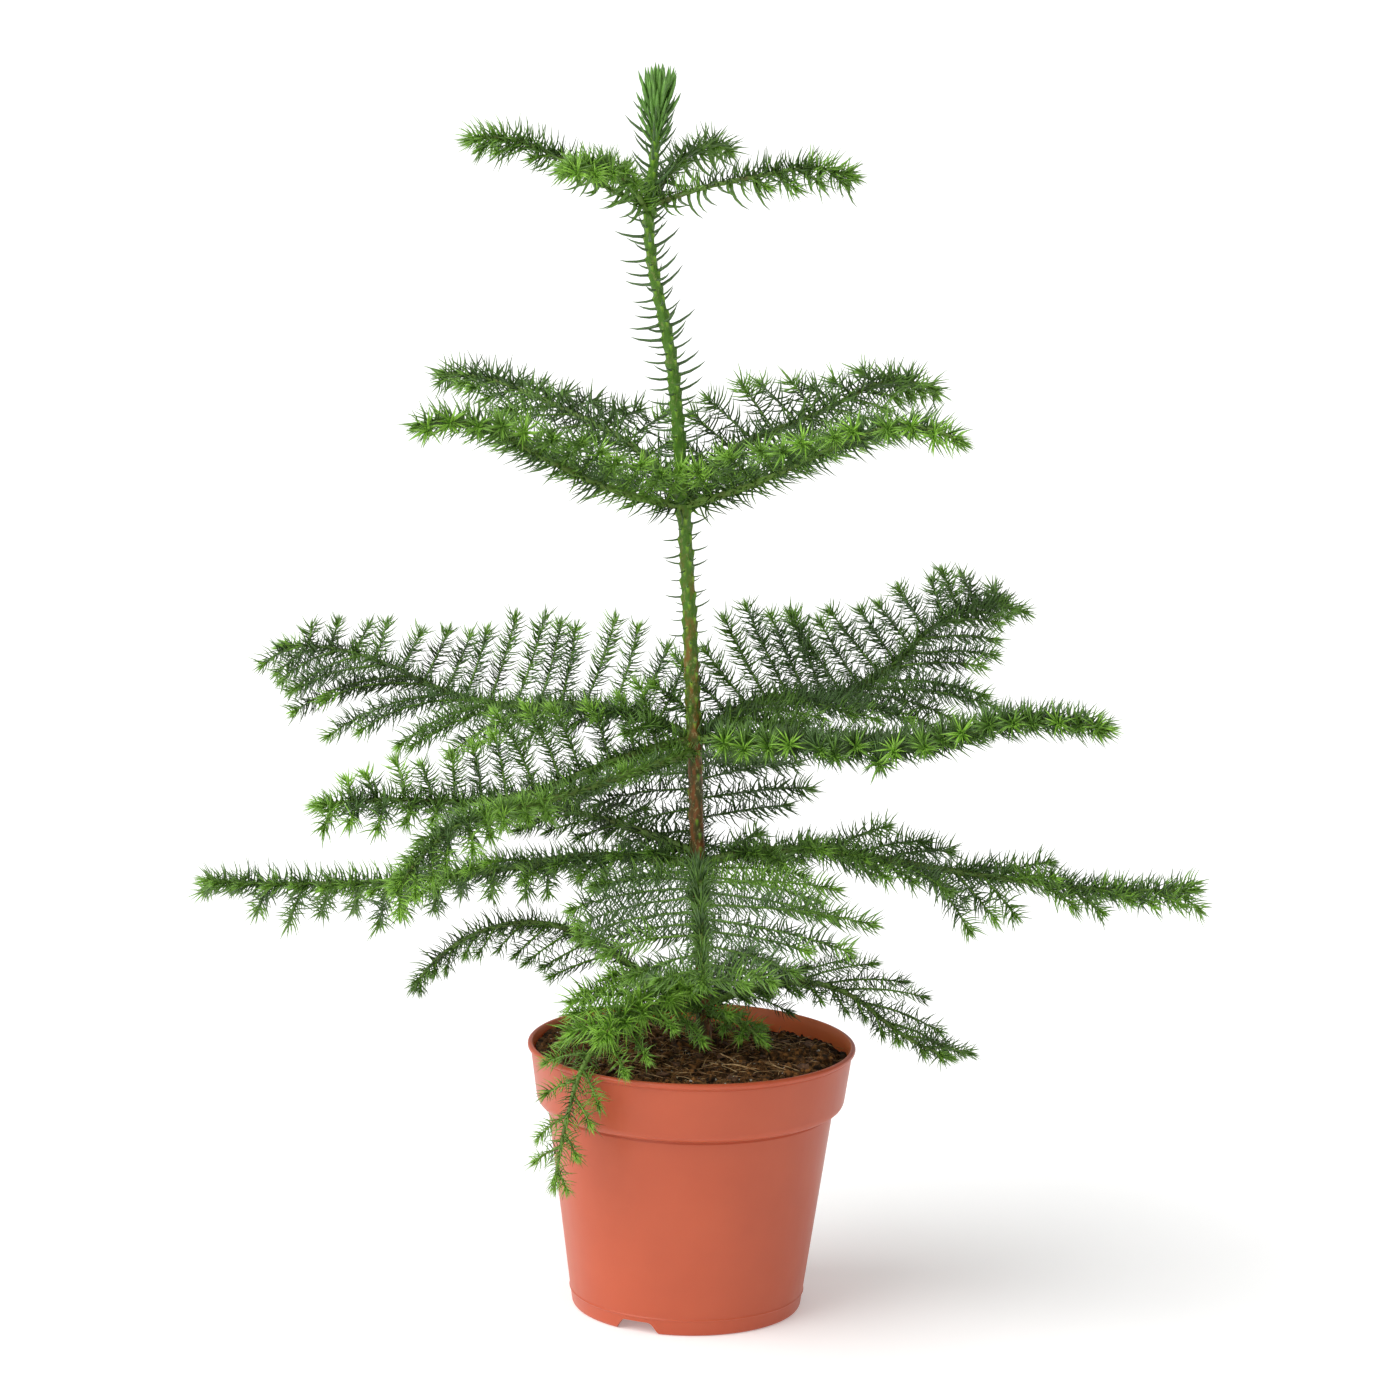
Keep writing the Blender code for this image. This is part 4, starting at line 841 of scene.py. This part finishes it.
GREENS = {                   # base colour and roughness
    # The shade green is partly painted shade: a dark olive of old needles, dealt out mostly to the low and
    # back branches, where shade falls.
    "shade": ((0.038, 0.082, 0.010), 0.50),
    "dark": ((0.055, 0.122, 0.017), 0.46),
    "grey": ((0.085, 0.172, 0.042), 0.42),
    "leaf": ((0.110, 0.235, 0.028), 0.42),
    "fresh": ((0.180, 0.370, 0.040), 0.40),
    "bright": ((0.270, 0.530, 0.055), 0.38),
}
COATS = {                    # greens of a coat: old needles, those near the ends, the closed fresh ends
    "top": (dict(dark=0.45, leaf=0.40, fresh=0.15), dict(leaf=0.4, fresh=0.6), dict(fresh=0.4, bright=0.6)),
    "bright": (dict(dark=0.20, grey=0.20, leaf=0.40, fresh=0.20), dict(leaf=0.1, fresh=0.5, bright=0.4),
               dict(fresh=0.2, bright=0.8)),
    "tube": (dict(shade=0.15, dark=0.20, grey=0.35, leaf=0.30), dict(leaf=0.3, fresh=0.4, bright=0.3),
             dict(fresh=0.4, bright=0.6)),
    "grey": (dict(shade=0.12, dark=0.28, grey=0.40, leaf=0.20), dict(leaf=0.6, fresh=0.4),
             dict(fresh=0.6, bright=0.4)),
    "leafy": (dict(dark=0.15, grey=0.40, leaf=0.35, fresh=0.10), dict(leaf=0.5, fresh=0.5),
              dict(fresh=0.6, bright=0.4)),
    "dark": (dict(shade=0.20, dark=0.35, grey=0.35, leaf=0.10), dict(grey=0.4, leaf=0.6),
             dict(leaf=0.3, fresh=0.7)),
    "deep": (dict(shade=0.40, dark=0.40, leaf=0.20), dict(dark=0.5, leaf=0.5), dict(leaf=0.5, fresh=0.5)),
    "lively": (dict(dark=0.15, leaf=0.45, fresh=0.40), dict(leaf=0.2, fresh=0.8),
               dict(fresh=0.4, bright=0.6)),
    # This coat gives even the old needles bright greens: painted light on the low front spray, which sits in
    # the shade of the branches above.
    "painted_lit": (dict(leaf=0.10, fresh=0.40, bright=0.50), dict(fresh=0.3, bright=0.7), dict(bright=1.0)),
    "young": (dict(leaf=0.35, fresh=0.65), dict(fresh=0.4, bright=0.6), dict(bright=1.0)),
}
NEW_GROWTH = 9.0             # length of the fresh end of a twig
LIMB_NEW_GROWTH = 16.0
BUD, LIMB_BUD = 3.6, 7.0     # length of the closed bud at a twig's and a limb's end
BUD_SPACING = 0.16           # the close needles of a bud
LIMB_SPRAY = 12.0            # one green holds for this length of a limb
TWIG_SPACING, END_SPACING, LIMB_SPACING = 0.42, 0.34, 0.33


def spike(places, radii, curl, sides):
    """A needle along +Z, one unit long, that leans out along +X and curls back to its tip."""
    bend = [curl * (place - place ** 2) for place in places]
    rings = [[(out + radius * math.cos(math.tau * k / sides), 1.15 * radius * math.sin(math.tau * k / sides),
               place) for k in range(sides)] for place, out, radius in zip(places, bend, radii)]
    mesh = lofted("needle", [*rings, [(bend[-1], 0.0, places[-1])]], unit=1.0)
    mesh.polygons.foreach_set("use_smooth", [True] * len(mesh.polygons))
    return bpy.data.objects.new("needle", mesh)


def picked(mix):
    """One green of a mix, by its share."""
    names = list(mix)
    shares = np.array([mix[name] for name in names])
    return names[draw.choice(len(names), p=shares / shares.sum())]


def planted(beds, line, start, end, spacing, wood, lean, length, green, phase):
    """Needles in a spiral on a stretch of a line, into beds: root, forward, outward, lean, length.

    wood, lean and length are (at start, at end). The line's points are in millimetres.
    """
    line = np.asarray(line, float)
    runs = np.linalg.norm(np.diff(line, axis=0), axis=1)
    reach = np.concatenate([[0.0], np.cumsum(runs)])
    places = np.arange(start, min(end, reach[-1]), spacing)
    if len(places) == 0:
        return phase
    places = places + draw.uniform(-0.3, 0.3, len(places)) * spacing
    middle = np.stack([np.interp(places, reach, line[:, k]) for k in range(3)], 1)
    slope = np.gradient(line, reach, axis=0)
    ahead = np.stack([np.interp(places, reach, slope[:, k]) for k in range(3)], 1)
    ahead /= np.linalg.norm(ahead, axis=1)[:, None]
    across = np.cross(ahead, [0.05, 0.02, 1.0])
    across /= np.linalg.norm(across, axis=1)[:, None]
    above = np.cross(across, ahead)
    turn = phase + GOLDEN * np.arange(len(places)) + draw.normal(0.0, 0.45, len(places))
    out = across * np.cos(turn)[:, None] + above * np.sin(turn)[:, None]
    share = (places - start) / max(end - start, 0.001)
    root = middle + out * (np.interp(share, (0, 1), wood) * 0.75)[:, None]
    stance = np.interp(share, (0, 1), lean) * (1.0 + 0.26 * out[:, 2])
    beds[green].append(np.column_stack([
        root, ahead, out, np.radians(stance), np.interp(share, (0, 1), length)]))
    return phase + GOLDEN * len(places)


draw = np.random.default_rng(21)
twig_beds, limb_beds = ({green: [] for green in GREENS} for _ in range(2))
for branch, place, wood in twigs:
    old, new, fresh = COATS[branch["coat"]]
    total = np.linalg.norm(np.diff(wood, axis=0), axis=1).sum()
    size, spacing = branch["twig_needle"], TWIG_SPACING / branch["dense"]
    ageing = max(1.0, total - NEW_GROWTH * draw.uniform(0.6, 1.1))
    phase = draw.uniform(0.0, math.tau)
    green = picked(old)
    phase = planted(twig_beds, wood, 0.8, ageing * 0.5, spacing, TWIG_GIRTH, (68, 62), (size * 0.8, size),
                    green, phase)
    phase = planted(twig_beds, wood, ageing * 0.5, ageing, spacing, TWIG_GIRTH, (62, 58), (size, size),
                    green if draw.random() < 0.6 else picked(old), phase)
    phase = planted(twig_beds, wood, ageing, total, END_SPACING, (0.4, 0.3), (58, 44), (size, size * 0.9),
                    picked(new), phase)
    planted(twig_beds, wood, total - BUD, total, BUD_SPACING, (0.35, 0.2), (26, 7), (5.4, 5.0),
            picked(fresh), phase)
for branch, (points, girths) in zip(BRANCHES, limb_lines):
    old, new, fresh = COATS[branch["coat"]]
    total = np.linalg.norm(np.diff(points, axis=0), axis=1).sum()
    size, spacing = branch["needle"], LIMB_SPACING / branch["dense"]
    start, phase = 2.0, draw.uniform(0.0, math.tau)
    while start < total - LIMB_NEW_GROWTH:
        end = min(start + LIMB_SPRAY, total - LIMB_NEW_GROWTH)
        wood = np.interp((start, end), (0.0, total), (branch["girth"], LIMB_TIP_GIRTH))
        phase = planted(limb_beds, points, start, end, spacing, wood, (66, 62), (size, size),
                        picked(old), phase)
        start = end
    phase = planted(limb_beds, points, start, total - 2.0, spacing, (0.7, 0.55), (62, 46),
                    (size, size * 0.85), picked(new), phase)
    planted(limb_beds, points, total - LIMB_BUD, total, BUD_SPACING, (0.6, 0.3), (28, 6), (6.4, 6.0),
            picked(fresh), phase)

CLAWS_FROM, CLAWS_REACH = 495.0, 80.0    # height, and distance from the axis, of the hooked needles
claws = []                       # the long hooked needles under the highest branches
for green, stretches in limb_beds.items():
    for number, rows in enumerate(stretches):
        high = ((rows[:, 2] > CLAWS_FROM) & (rows[:, 8] < -0.25)
                & (np.hypot(rows[:, 0], rows[:, 1]) < CLAWS_REACH))
        rows[:, 9] += np.where(high, 0.30, 0.0)
        rows[:, 10] *= np.where(high, 1.2, 1.0)
        claws.append(rows[high][::8])
        stretches[number] = rows[~high]

needle_tree, given = node_group("needles on the skin", (
    ("Needle", "Object", None), ("Finish", "Material", None), ("Length Spread", "Float", 0.22),
    ("Lean Spread", "Float", 0.30), ("Seed", "Int", 6)))


def read(name, kind="FLOAT"):
    """The value that each point carries under that name."""
    return joined(needle_tree, "GeometryNodeInputNamedAttribute", {"Name": name},
                  data_type=kind).outputs["Attribute"]


def wander(label, seed):
    """A random number on each point, between minus and plus the input of that label."""
    return joined(needle_tree, "FunctionNodeRandomValue", data_type="FLOAT", sockets={
        2: maths(needle_tree, "MULTIPLY", given[label], -1.0), 3: given[label],
        "Seed": maths(needle_tree, "ADD", given["Seed"], seed)}).outputs[1]


facing = joined(needle_tree, "FunctionNodeAxesToRotation", primary_axis="Z", secondary_axis="X", sockets={
    "Primary Axis": read("ahead", "FLOAT_VECTOR"), "Secondary Axis": read("out", "FLOAT_VECTOR")})
tipped = joined(needle_tree, "FunctionNodeAxisAngleToRotation", {
    "Axis": (0.0, 1.0, 0.0), "Angle": maths(needle_tree, "ADD", read("lean"), wander("Lean Spread", 1.0))})
aimed = joined(needle_tree, "FunctionNodeRotateRotation", rotation_space="LOCAL", sockets={
    "Rotation": facing.outputs["Rotation"], "Rotate By": tipped.outputs["Rotation"]})
varied = maths(needle_tree, "ADD", wander("Length Spread", 2.0), 1.0)
pattern = joined(needle_tree, "GeometryNodeObjectInfo", {"Object": given["Needle"], "As Instance": True})
stood = joined(needle_tree, "GeometryNodeInstanceOnPoints", {
    "Points": given["Geometry"], "Instance": pattern.outputs["Geometry"],
    "Rotation": aimed.outputs["Rotation"], "Scale": maths(needle_tree, "MULTIPLY", read("needle"), varied)})
ended(needle_tree, given, stood.outputs["Instances"])

LIMB_NEEDLE = spike((-0.03, 0.42, 1.0), (0.037, 0.032), 0.30, 3)
TWIG_NEEDLE = spike((-0.03, 0.45, 1.0), (0.038, 0.034), 0.26, 3)
CLAW = spike((-0.03, 0.22, 0.48, 0.75, 1.0), (0.095, 0.070, 0.050, 0.030), 0.62, 3)


def needle_finish(name, colour, roughness):
    """Waxy needle green with a slight change of tone from needle to needle."""
    made, tree, shader = finish(name, colour, roughness)
    shader.inputs["Specular IOR Level"].default_value = 0.5
    darker = tuple(part * 0.78 for part in colour)
    lighter = tuple(min(1.0, part * 1.20) for part in colour)
    tone = ranged(tree, grain(tree, 260.0, 2.0), 0.0, 1.0, 0.34, 0.66)
    tree.links.new(blended(tree, tone, darker, lighter), shader.inputs["Base Color"])
    return made


def needle_piece(name, rows, material, needle, slot, nodes, **inputs):
    """One piece with a needle on each row of root, forward, outward, lean and length."""
    rows = np.vstack(rows)
    mesh = bpy.data.meshes.new(name)
    mesh.vertices.add(len(rows))
    mesh.vertices.foreach_set("co", (rows[:, 0:3] * MM).ravel())
    for label, value in (("ahead", rows[:, 3:6]), ("out", rows[:, 6:9]), ("lean", rows[:, 9]),
                         ("needle", rows[:, 10] * MM)):
        kind, field = ("FLOAT_VECTOR", "vector") if value.ndim == 2 else ("FLOAT", "value")
        mesh.attributes.new(label, kind, "POINT").data.foreach_set(field, value.ravel())
    piece = run_tree(link(name, mesh), needle_tree, Needle=needle, Finish=material, **inputs)
    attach(piece, "root")
    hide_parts(*nodes)
    return piece


for number, (green, (colour, roughness)) in enumerate(GREENS.items()):
    slot = "young_needles" if green in ("fresh", "bright") else "needles"
    wax = needle_finish(f"{green}_needles", colour, roughness)
    needle_piece(f"twig_needles_{green}", twig_beds[green], wax, TWIG_NEEDLE, slot, leaf_nodes,
                 Seed=10 * number)
    needle_piece(f"limb_needles_{green}", limb_beds[green], wax, LIMB_NEEDLE, slot, leaf_nodes,
                 Seed=10 * number + 5)
needle_piece("hooked_needles", claws, bpy.data.materials["leaf_needles"], CLAW, "needles",
             [name for name in leaf_nodes if name.startswith("foliage_top_")], Seed=65, Lean_Spread=0.25)


# ================================================================ trunk needles and growing tip
# Between the whorls the trunk keeps its first needles, each a curved spine that stands out and
# turns up. The growing tip ends in a close brush of broad, soft, upright needles.

TIP_START, TIP_RISE = 530.0, 22.5        # height of the brush's lowest needle, and up to its highest
TIP_NEEDLES = 80
TIP_TOP = 566.0
TIP_PLACES = (0.0, 0.3, 0.55, 0.8, 1.0)  # shares of the rise, for the two rows that follow
TIP_LEANS = (38.0, 28.0, 25.0, 18.0, 6.0)
TIP_LENGTHS = (10.0, 13.0, 18.5, 18.0, 13.5)
TRUNK_LEANS = ((300.0, 78.0), (470.0, 72.0), (500.0, 58.0), (545.0, 36.0))
TRUNK_NEEDLE = spike((-0.03, 0.12, 0.35, 0.70, 1.0), (0.080, 0.052, 0.046, 0.030), 0.30, 4)
TIP_NEEDLE = spike((-0.03, 0.20, 0.50, 0.80, 1.0), (0.038, 0.052, 0.055, 0.034), 0.22, 4)

draw = np.random.default_rng(30)
rows = []
for height, turn, length in trunk_needles:
    slope = trunk_point(height + 1.0) - trunk_point(height - 1.0)
    ahead = slope / np.linalg.norm(slope)
    out = np.array([math.cos(turn), math.sin(turn), 0.0])
    out -= ahead * np.dot(out, ahead)
    out /= np.linalg.norm(out)
    root = trunk_point(height) + out * (trunk_radius(height) + 0.1)
    lean = math.radians(np.interp(height, *zip(*TRUNK_LEANS)) - 8.0 * out[0])
    rows.append(np.concatenate([root, ahead, out, [lean, length]]))
deep_green = needle_finish("trunk_needle_green", (0.075, 0.150, 0.040), 0.45)
needle_piece("trunk_needles", rows, deep_green, TRUNK_NEEDLE, "needles", ["trunk"], Seed=70, Lean_Spread=0.14)

rows = []
for number in range(TIP_NEEDLES):
    rise = number / (TIP_NEEDLES - 1)
    height = TIP_START + TIP_RISE * rise
    turn = number * GOLDEN
    out = np.array([math.cos(turn), math.sin(turn), 0.0])
    root = trunk_point(height) + out * trunk_radius(min(height, TRUNK_TIP)) * 0.7
    lean = math.radians(np.interp(rise, TIP_PLACES, TIP_LEANS))
    length = min(np.interp(rise, TIP_PLACES, TIP_LENGTHS), (TIP_TOP - height) / math.cos(lean))
    rows.append(np.concatenate([root, [0.0, 0.0, 1.0], out, [lean, length]]))
needle_piece("tip_needles", rows, needle_finish("tip_green", (0.128, 0.292, 0.045), 0.42), TIP_NEEDLE,
             "young_needles", ["foliage_leader"], Seed=90, Length_Spread=0.11, Lean_Spread=0.14)
for thing in (LIMB_NEEDLE, TWIG_NEEDLE, CLAW, TRUNK_NEEDLE, TIP_NEEDLE):
    bpy.data.objects.remove(thing, do_unlink=True)


# ================================================================ studio
# A wide pale floor under even, soft light, brighter from the front left, and the camera.

FLOOR_RADIUS, FLOOR_LEVEL = 60.0, -0.0002      # in metres, just under the pot
FLOOR_GLOW, SKY_STRENGTH = 0.24, 0.48
shape = bmesh.new()
bmesh.ops.create_circle(shape, cap_ends=True, segments=96, radius=FLOOR_RADIUS)
floor = link("floor", meshed(shape, "floor"))
floor.location = (0.0, 0.0, FLOOR_LEVEL)
paper, tree, shader = finish("studio_paper", (0.92, 0.92, 0.915), 0.9)
shader.inputs["Specular IOR Level"].default_value = 0.1
shader.inputs["Emission Color"].default_value = (1.0, 1.0, 1.0, 1.0)
shader.inputs["Emission Strength"].default_value = FLOOR_GLOW
floor.data.materials.append(paper)

world = bpy.data.worlds.new("studio")
world.use_nodes = True
sky = world.node_tree.nodes["Background"].inputs
sky["Color"].default_value = (1.0, 1.0, 1.0, 1.0)
sky["Strength"].default_value = SKY_STRENGTH
bpy.context.scene.world = world
for name, azimuth, elevation, strength, softness in (
        ("key", -62.0, 48.0, 2.45, 56.0), ("fill", -40.0, 14.0, 0.60, 50.0)):
    light = bpy.data.lights.new(name, "SUN")
    light.energy, light.angle = strength, math.radians(softness)
    lamp = link(name, light)
    a, e = math.radians(azimuth), math.radians(elevation)
    toward = Vector((math.sin(a) * math.cos(e), -math.cos(a) * math.cos(e), math.sin(e)))
    lamp.rotation_euler = toward.to_track_quat("Z", "Y").to_euler()

CAMERA_PITCH, CAMERA_ROLL = 10.31, 1.27
camera_data = bpy.data.cameras.new("camera")
camera_data.sensor_width = 36.0
camera_data.lens = 115.7
camera_data.clip_end = 200.0
camera = link("camera", camera_data)
camera.location = (0.0003, -1.996, 0.645)
camera.rotation_euler = (math.radians(90.0 - CAMERA_PITCH), 0.0, 0.0)
camera.rotation_euler.rotate_axis("Z", math.radians(CAMERA_ROLL))
bpy.context.scene.camera = camera
bpy.context.scene.view_settings.view_transform = "Standard"
